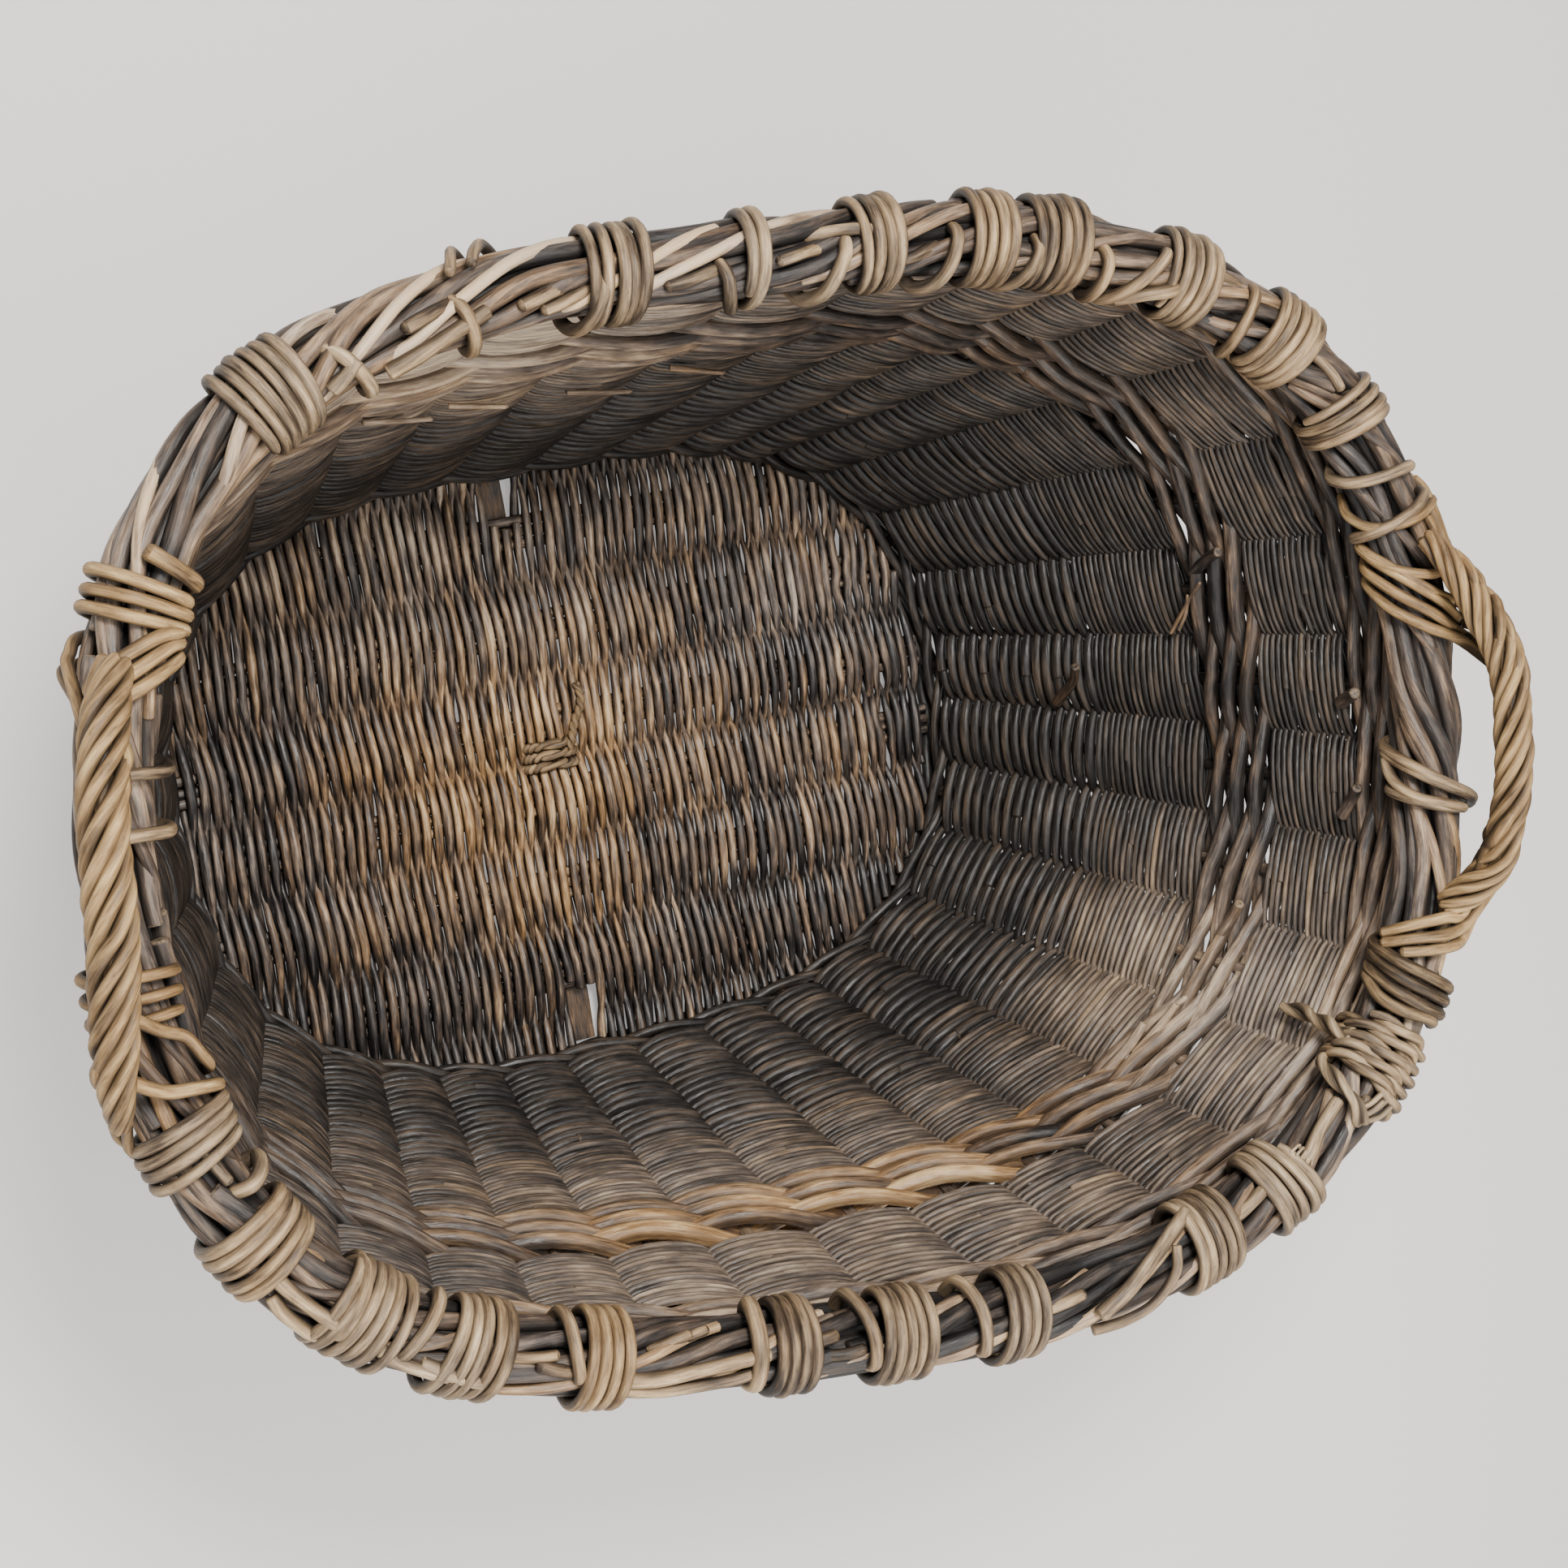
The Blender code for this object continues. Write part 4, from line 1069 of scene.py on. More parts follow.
# long rods that run round the border, slowly crossing from the outer to the inner side
BORDER_RODS = 9
BORDER_TURNS = 4
quarter = [Rods(11) for _ in range(4)]
common = [rng.uniform(0, TAU) for _ in range(4)]
for j in range(BORDER_RODS):
    cuts = np.sort(rng.uniform(0, 1, 3))
    ph = rng.uniform(0, TAU, 6)
    for q in range(3):
        s_a = cuts[q]
        s_b = cuts[(q + 1) % 3] + (1.0 if q == 2 else 0.0)
        if s_b - s_a < 0.06:
            continue
        s = np.arange(s_a, s_b - 0.004, 0.0022)
        n = len(s)
        m = s * RIM.length
        ang = TAU * (j / BORDER_RODS + BORDER_TURNS * s)
        ang = ang + 0.22 * np.sin(TAU * 3 * s + common[0]) + 0.18 * np.sin(TAU * 8 * s + common[1])
        ang = ang + 0.20 * np.sin(TAU * 6 * s + ph[0]) + 0.17 * np.sin(TAU * 13 * s + ph[1]) \
            + 0.08 * np.sin(TAU * 25 * s + ph[4])
        rho = 0.0172 + 0.0013 * np.sin(TAU * 7 * s + ph[2]) + 0.0010 * np.sin(TAU * 15 * s + ph[3])
        p, side = roll(s, ang, rho)
        size = rng.uniform(0.0050, 0.0060)
        r = size * (1 + 0.05 * wander(rng, m, (1.0, 3.0), 1.0)) * np.linspace(1.06, 0.90, n)
        r = np.minimum(r, 0.0062)
        tone, warm = border_tone(p)
        kind = rng.random()
        add = 0.13 if kind < 0.16 else (-0.08 if kind > 0.62 else 0.0)
        mid_ = np.clip(1 - np.abs(np.cos(angle_of(p))) * 1.7, 0, 1)
        tone = tone + add * (1 - 0.9 * mid_ * (add > 0)) + rng.normal(0, 0.03) + 0.04 * wander(rng, m, (2.0, 7.0), 1.0)
        tone = tone - 0.75 * mid_ * np.clip(tone - 0.31, 0, 1)          # greyer in the middle of a side
        warm = warm + (0.35 if kind < 0.16 else 0.0) + rng.normal(0, 0.10)
        quarter[j % 4].rod(p, r, rng, ref=side, tone=tone, warm=warm, ends=("cut", "cut"))
# four thick core rods fill the roll so it can't be seen through; their dark tone is painted shade
for j in range(4):
    s = np.linspace(0, 1, 221)[:-1]
    p, side = roll(s, TAU * (j / 4 + 3 * s), 0.0078)
    quarter[j].rod(p, 0.0074, rng, ref=side, closed=True, tone=0.16, warm=0.3)
for j in range(4):
    quarter[j].build("border_rods_%d" % (j + 1), MAT_BORDER, "weathered_border",
                     ("border_rod_%d" % (j + 1),))


LASH_R = 0.0039
LASH_RHO = 0.0270


def wrap(rods, share, turns, start=-105.0, pitch=0.0077, r0=LASH_R, rho0=LASH_RHO, skew=0.0,
         tight=0.82, tone_add=0.0, warm_add=0.0, cross=0.0, ply=(0.0, 0.0)):
    """A rod wound round the border. ply: radius and phase of its own twist."""
    n = int(turns * 34) + 1
    th = np.linspace(0, turns * TAU, n)
    ang = math.radians(start) + th
    idx = th / TAU - turns / 2
    top = 0.5 * (1 + np.cos(ang - math.radians(80)))
    along = idx * pitch * (tight + (1 - tight) * top) + skew * np.cos(ang - math.radians(160))
    bumps = rng.normal(0, 1, int(turns) + 3)
    turn_no = np.interp(th / TAU, np.arange(len(bumps)), bumps)
    along = along + 0.0006 * turn_no + cross * np.sin(th / TAU * 2.3 + bumps[0])
    k3 = 3 * len(bumps)
    rho = rho0 + 0.0006 * np.interp(th / TAU * 3, np.arange(k3), rng.normal(0, 1, k3))
    own = th * rho0 / 0.056 * TAU + ply[1]
    along = along + ply[0] * np.cos(own)
    rho = rho + ply[0] * np.sin(own)
    p, side = roll(share + along / RIM.length, ang, rho)
    r = r0 * rng.normal(1, 0.03) * (1 + 0.05 * wander(rng, th * 0.03, (3.0, 8.0), 1.0)) * np.linspace(1.06, 0.92, n)
    r[:2] *= (0.8, 0.95)
    r[-2:] *= (0.95, 0.8)
    tone, warm = straw_tone(p)
    per_turn = np.interp(th / TAU, np.arange(len(bumps)), rng.normal(0, 1, len(bumps)))
    # lighter on top, darker where it goes down the sides: painted highlight on top, painted shade on the sides
    tone = tone + tone_add + 0.05 * per_turn + 0.05 * wander(rng, th * 0.03, (4.0, 10.0), 1.0) \
        + 0.09 * (np.clip(np.sin(ang), -0.4, 1) - 0.5)
    warm = warm + warm_add + rng.normal(0, 0.08)
    rods.rod(p, r, rng, ref=side, flat=0.92, tone=tone, warm=warm, ends=("cut", "cut"))


def border_line(points, n=40):
    """A rounded line through (share, angle in degrees, distance from the border's middle)."""
    q = [roll(s, math.radians(a), d)[0] for s, a, d in points]
    return smooth_line(q, n)


loops = Rods(11)


def loose(points, r0, light, warm_add=0.0, ends=("cut", "cut"), n=44, taper=0.9, to=loops):
    p = border_line(points, n)
    c = np.concatenate([RIM.at(np.interp(np.linspace(0, 1, n), np.linspace(0, 1, len(points)),
                                         [q[0] for q in points])), np.zeros((n, 1))], 1)
    c[:, 2] = rim_z(c)
    tone, warm = straw_tone(p)
    to.rod(p, r0 * np.linspace(1.0, taper, n) * (1 + 0.03 * np.sin(np.linspace(0, 9, n))), rng,
           ref=unit(p - c), tone=tone + light, warm=warm + warm_add, ends=ends)


DARK_LASHINGS = {0: -0.03, 1: -0.04, 2: -0.03, 3: -0.18, 4: -0.04, 12: -0.04, 14: -0.15, 16: -0.14,
                 7: -0.06, 6: 0.04, 5: 0.0, 19: 0.02}
for i, (share, turns) in enumerate(LASHINGS):
    r = Rods(11)
    extra = rng.uniform(-0.30, -0.12)
    add = DARK_LASHINGS.get(i, 0.0) + rng.normal(-0.01, 0.02)
    start = -110 + rng.uniform(-15, 15)
    skew = rng.normal(0, 0.0016)
    if i == 19:                                # a twisted pair of rods, loosely wound
        for k in (0, 1):
            wrap(r, share + 0.0004, 4.7, start=-100, pitch=0.0094, skew=0.0040, tone_add=add,
                 warm_add=0.10, r0=0.0034, ply=(0.0026, math.pi * k), tight=0.9)
    elif i == 20:                              # two slack turns, slanting
        for pts, r0, light in (
                (((0.9950, 232, 0.0225), (0.9932, 208, 0.0268), (0.9886, 145, 0.0292), (0.9842, 104, 0.0294),
                  (0.9806, 56, 0.0300), (0.9786, 16, 0.0305), (0.9782, -22, 0.0290), (0.9800, -62, 0.0268),
                  (0.9860, -110, 0.0262), (0.9900, -146, 0.0245)), 0.0037, 0.00),
                (((0.9930, 230, 0.0222), (0.9912, 204, 0.0264), (0.9866, 140, 0.0286), (0.9826, 98, 0.0288),
                  (0.9796, 52, 0.0290), (0.9778, 20, 0.0286), (0.9770, -20, 0.0268)), 0.0035, -0.06),
                (((0.9905, 228, 0.0222), (0.9893, 202, 0.0266), (0.9842, 175, 0.0284), (0.9802, 141, 0.0292),
                  (0.9784, 102, 0.0292), (0.9774, 74, 0.0280), (0.9770, 56, 0.0250)), 0.0038, 0.05)):
            loose(pts, r0, light, warm_add=0.10, n=72, ends=("old", "old"), to=r)
    else:
        wrap(r, share, turns + extra, start=start, skew=-0.0060 if i == 9 else skew, tone_add=add,
             warm_add=-0.15 if add < -0.1 else 0.0, cross=rng.uniform(0, 0.0010))
    r.build("lashing_rods_%02d" % (i + 1), MAT_STRAW, "straw_lashing", ("border_lashing_%02d" % (i + 1),))


# single turns between the lashings, the ends of the side stakes: share, lean along the
# border in metres, first and last angle, thickness, lightness
LOOPS = (
    (0.3657, 0.012, 226, 72, 0.0047, 0.10), (0.3368, 0.010, 240, 78, 0.0044, 0.04),
    (0.3075, -0.010, 236, 84, 0.0044, 0.06), (0.2708, 0.010, 226, 98, 0.0044, -0.04),
    (0.2471, -0.020, 214, 76, 0.0048, 0.12), (0.2166, -0.016, 216, 80, 0.0046, 0.10),
    (0.1937, -0.012, 222, 88, 0.0040, 0.02), (0.1608, -0.022, 206, 66, 0.0044, 0.10),
    (0.1700, 0.006, 230, 96, 0.0044, 0.00), (0.1258, 0.010, 226, 48, 0.0042, 0.02),
    (0.7678, 0.008, 200, 46, 0.0044, 0.06), (0.7378, 0.006, 196, 40, 0.0044, 0.02),
    (0.7100, -0.006, 196, 28, 0.0054, 0.10), (0.6638, 0.010, 198, 62, 0.0042, 0.04),
    (0.6274, -0.008, 190, 52, 0.0044, 0.02), (0.6093, 0.006, 192, 40, 0.0042, 0.00),
    (0.5712, 0.002, 192, 104, 0.0047, 0.10),
    (0.0688, -0.014, 220, 40, 0.0042, -0.02), (0.0552, 0.012, 214, 30, 0.0042, 0.02),
    (0.4897, 0.006, 200, 60, 0.0040, -0.02), (0.4760, 0.008, 206, 64, 0.0038, -0.02),
    (0.9793, -0.008, 214, 54, 0.0038, -0.06),
)
for share, lean, a_in, a_top, r0, light in LOOPS:
    a0, a1 = math.radians(a_in + rng.uniform(-8, 8)), math.radians(a_top + rng.uniform(-8, 8))
    n = 34
    f = np.linspace(0, 1, n)
    ang = a0 + (a1 - a0) * f
    along = lean * (f - 0.5) * 1.6 + 0.002 * np.sin(f * 5 + share * 40)
    rho = 0.0262 + 0.0016 * np.sin(math.pi * f) + rng.uniform(0, 0.0012)
    rho = rho - 0.0100 * np.clip((f - 0.84) / 0.16, 0, 1) ** 1.3 - 0.0070 * np.clip((0.16 - f) / 0.16, 0, 1)
    p, side = roll(share + along / RIM.length, ang, rho)
    tone, warm = straw_tone(p)
    loops.rod(p, r0 * np.linspace(1.05, 0.92, n), rng, ref=side, flat=0.95,
              tone=tone + light - 0.03 + rng.normal(0, 0.03), warm=warm, ends=("cut", "old"))


# pale rods lying loose on the border
loose(((0.3590, 150, 0.0262), (0.3500, 138, 0.0268), (0.3400, 122, 0.0262), (0.3330, 112, 0.0240)), 0.0050, 0.08)
loose(((0.3740, 128, 0.0250), (0.3700, 118, 0.0275), (0.3665, 108, 0.0278)), 0.0048, 0.08)
loose(((0.6770, 68, 0.0225), (0.6850, 74, 0.0262), (0.6980, 86, 0.0266), (0.7120, 96, 0.0258)), 0.0048, 0.10)
loose(((0.6780, 50, 0.0225), (0.6870, 54, 0.0260), (0.7020, 64, 0.0262), (0.7100, 72, 0.0250)), 0.0040, 0.02)
loose(((0.5950, 40, 0.0230), (0.5985, 38, 0.0262), (0.6050, 34, 0.0262), (0.6085, 30, 0.0240)), 0.0044, 0.10)
loose(((0.8010, 74, 0.0270), (0.8090, 96, 0.0295), (0.8180, 118, 0.0300), (0.8280, 140, 0.0290),
       (0.8350, 158, 0.0270)), 0.0052, 0.12)
loose(((0.8000, 44, 0.0262), (0.8080, 52, 0.0290), (0.8160, 66, 0.0300), (0.8230, 92, 0.0300),
       (0.8260, 120, 0.0310)), 0.0036, 0.0)
loose(((0.6300, 60, 0.0240), (0.6380, 58, 0.0262), (0.6440, 56, 0.0262)), 0.0046, 0.14)
loose(((0.1490, 122, 0.0250), (0.1520, 128, 0.0292), (0.1580, 142, 0.0300), (0.1630, 165, 0.0290)), 0.0046, 0.12)
# cut ends that show between the turns
for share, ang, tilt, r0, light in (
        (0.3205, 112, 0.010, 0.0050, 0.02), (0.3150, 126, 0.010, 0.0046, 0.06), (0.2835, 118, 0.012, 0.0046, -0.04),
        (0.2560, 100, 0.010, 0.0044, 0.04), (0.2395, 70, -0.012, 0.0048, 0.08), (0.2240, 120, 0.008, 0.0044, 0.02),
        (0.7260, 108, 0.010, 0.0052, -0.12), (0.7335, 84, 0.009, 0.0046, -0.14), (0.6905, 128, 0.007, 0.0040, 0.04),
        (0.6950, 134, 0.007, 0.0038, 0.02), (0.6560, 100, 0.010, 0.0044, -0.05), (0.6600, 84, -0.010, 0.0050, -0.08),
        (0.7930, 104, 0.012, 0.0050, 0.06), (0.8545, 120, 0.010, 0.0052, 0.08), (0.8920, 96, 0.010, 0.0046, 0.04),
        (0.1370, 74, 0.012, 0.0046, 0.02), (0.0980, 92, -0.012, 0.0044, 0.02), (0.3480, 96, 0.012, 0.0052, -0.05),
        (0.5640, 100, 0.012, 0.0044, -0.02)):
    d = tilt / RIM.length
    loose(((share - 2.2 * d, ang - 8, 0.0150), (share - d, ang - 4, 0.0200), (share, ang, 0.0232),
           (share + 0.9 * d, ang + 4, 0.0236)), r0 * 0.88, light - 0.08, n=18, ends=("old", "old"))


def twisted(points, r0, offset, light, turns, n=70):
    """A pair of thin rods twisted together along a line of points."""
    line = smooth_line(points, n)
    t = unit(np.gradient(line, axis=0))
    u = unit(np.array([0.3, 0.2, 1.0]) - t * (t @ np.array([0.3, 0.2, 1.0]))[:, None])
    v = np.cross(t, u)
    f = np.linspace(0, 1, n)
    for k in (0, 1):
        a = TAU * turns * f + math.pi * k
        off = (u * np.cos(a)[:, None] + v * np.sin(a)[:, None]) * offset
        tone, warm = straw_tone(line)
        loops.rod(line + off, r0 * np.linspace(1.0, 0.85, n), rng, ref=unit(off + u * 0.3 * offset),
                  tone=tone + light, warm=warm + 0.05, ends=("old", "old"))


def on_wall(share, w, inside):
    q = wall(np.array([share]), np.array([w])) - wall_normal(np.array([share]), np.array([w])) * inside
    return q[0]


# loose tails beside the twisted lashing
twisted([roll(0.9088, math.radians(166), 0.0285)[0], roll(0.9096, math.radians(196), 0.0305)[0],
         on_wall(0.9122, 0.960, 0.022), on_wall(0.9122, 0.912, 0.018)], 0.0037, 0.0026, 0.17, 1.2)
twisted([roll(0.9014, math.radians(218), 0.0250)[0], roll(0.8987, math.radians(190), 0.0290)[0],
         roll(0.8944, math.radians(146), 0.0306)[0], roll(0.8922, math.radians(114), 0.0306)[0],
         roll(0.8893, math.radians(90), 0.0280)[0]], 0.0036, 0.0024, 0.15, 0.9)
for ds, ang, ln in ((0.0, 86, 0.0), (0.0012, 96, 0.001), (0.0022, 78, -0.001), (0.0006, 70, 0.001)):
    loose(((0.8905 + ds, ang + 8, 0.0240), (0.8935 + ds, ang, 0.0272 + ln), (0.8975 + ds, ang - 4, 0.0290 + ln)),
          0.0022, 0.06, n=16, ends=("old", "cut"))
loose(((0.8700, 112, 0.0240), (0.8740, 118, 0.0268), (0.8800, 128, 0.0270), (0.8900, 134, 0.0262)), 0.0050, 0.08)
for k in range(5):
    loose(((0.8745 - 0.0005 * k, 112 + 5 * k, 0.0268), (0.8725, 110 + 6 * k, 0.0290), (0.8708 - 0.0004 * k, 106 + 7 * k, 0.0300)),
          0.0012, 0.10, n=12, ends=("old", "tip"))
loose(((0.5905, 70, 0.0235), (0.5950, 70, 0.0264), (0.6030, 69, 0.0266), (0.6100, 66, 0.0255)), 0.0046, 0.12)
loose(((0.6205, 58, 0.0235), (0.6240, 56, 0.0262), (0.6300, 55, 0.0264), (0.6365, 52, 0.0250)), 0.0044, 0.12)
# two upright ends standing outside the border
loose(((0.3300, -40, 0.0240), (0.3340, 0, 0.0285), (0.3368, 34, 0.0290), (0.3385, 52, 0.0280)), 0.0036, -0.10,
      ends=("old", "old"))
loose(((0.3225, -40, 0.0240), (0.3270, -2, 0.0285), (0.3310, 30, 0.0290), (0.3330, 46, 0.0280)), 0.0038, -0.06,
      ends=("old", "old"))
loops.build("border_single_loops", MAT_STRAW, "straw_lashing")

# broken ends and splinters that stand off the weave inside: places as (share, share of the
# height, distance from the wall's middle), then thickness, lightness, brownness
STUBS = (
    (((-0.0030, 0.330, 0.010), (0.0060, 0.385, 0.016), (0.0122, 0.413, 0.024)), 0.0042, 0.00, 0.30),
    (((0.0440, 0.680, 0.010), (0.0490, 0.730, 0.015), (0.0515, 0.766, 0.021)), 0.0046, 0.02, -0.05),
    (((0.0240, 0.604, 0.009), (0.0322, 0.649, 0.013), (0.0409, 0.700, 0.016)), 0.0018, 0.24, 0.20),
    (((0.0250, 0.622, 0.009), (0.0310, 0.650, 0.012), (0.0370, 0.670, 0.017)), 0.0014, 0.28, 0.10),
    (((0.8690, 0.684, 0.010), (0.8800, 0.694, 0.016), (0.8884, 0.700, 0.022)), 0.0040, 0.12, 0.10),
    (((0.8800, 0.700, 0.010), (0.8900, 0.716, 0.016), (0.8990, 0.735, 0.024)), 0.0034, 0.16, 0.20),
    (((0.8860, 0.680, 0.010), (0.8930, 0.700, 0.016), (0.9028, 0.735, 0.020)), 0.0026, 0.20, 0.10),
    (((0.9280, 0.730, 0.010), (0.9340, 0.752, 0.016), (0.9385, 0.772, 0.023)), 0.0046, 0.02, 0.10),
    (((0.3480, 0.622, 0.009), (0.3380, 0.606, 0.014), (0.3270, 0.596, 0.018)), 0.0020, 0.22, 0.10),
    (((0.3180, 0.560, 0.009), (0.3090, 0.566, 0.014), (0.3017, 0.575, 0.018)), 0.0020, 0.26, 0.10),
    (((0.2767, 0.520, 0.009), (0.2680, 0.540, 0.014), (0.2600, 0.560, 0.018)), 0.0020, 0.26, 0.10),
    (((0.2480, 0.590, 0.009), (0.2400, 0.600, 0.015), (0.2330, 0.606, 0.019)), 0.0022, 0.20, 0.20),
    (((0.9720, 0.925, 0.009), (0.9770, 0.950, 0.014), (0.9810, 0.975, 0.022)), 0.0046, 0.04, 0.00),
    (((0.0040, 0.930, 0.009), (0.0060, 0.955, 0.014), (0.0075, 0.980, 0.022)), 0.0050, 0.02, 0.00),
)
stubs = Rods(9)
for points, r0, light, brown in STUBS:
    q = [on_wall(s, w, inside) for s, w, inside in points]
    p = smooth_line(q, 22)
    tone, warm = side_tone(p, np.linspace(points[0][1], points[-1][1], 22))
    stubs.rod(p, r0 * np.linspace(1.0, 0.82, 22), rng, tone=np.maximum(tone, 0.30) + light, warm=warm + brown,
              ends=("hide", "cut" if r0 > 0.003 else "tip"))
stubs.build("side_broken_ends", MAT_BORDER, "side_willow")


# ------------------------------------------------------------------ handles
def handle_line(side):
    """The middle line of a handle, from one foot to the other."""
    s = np.linspace(-1, 1, 401)
    y = s * HANDLE_SPAN + SHIFT_Y
    shares = np.linspace(-0.24, 0.24, 900) if side > 0 else np.linspace(0.26, 0.74, 900)
    edge = RIM.at(shares)
    order = np.argsort(edge[:, 1])
    x = np.interp(y, edge[order, 1], edge[order, 0])
    share = np.interp(y, edge[order, 1], shares[order])
    lift = (1 - np.minimum(1.0, np.abs(s)) ** 2.4) ** (1 / 1.6)
    out = HANDLE_OUT_RIGHT if side > 0 else HANDLE_OUT_LEFT
    z = rim_z(np.stack([x, y], -1)) + HANDLE_RISE * lift
    return np.stack([x + side * out * lift, y, z], 1), share


STRANDS = 7

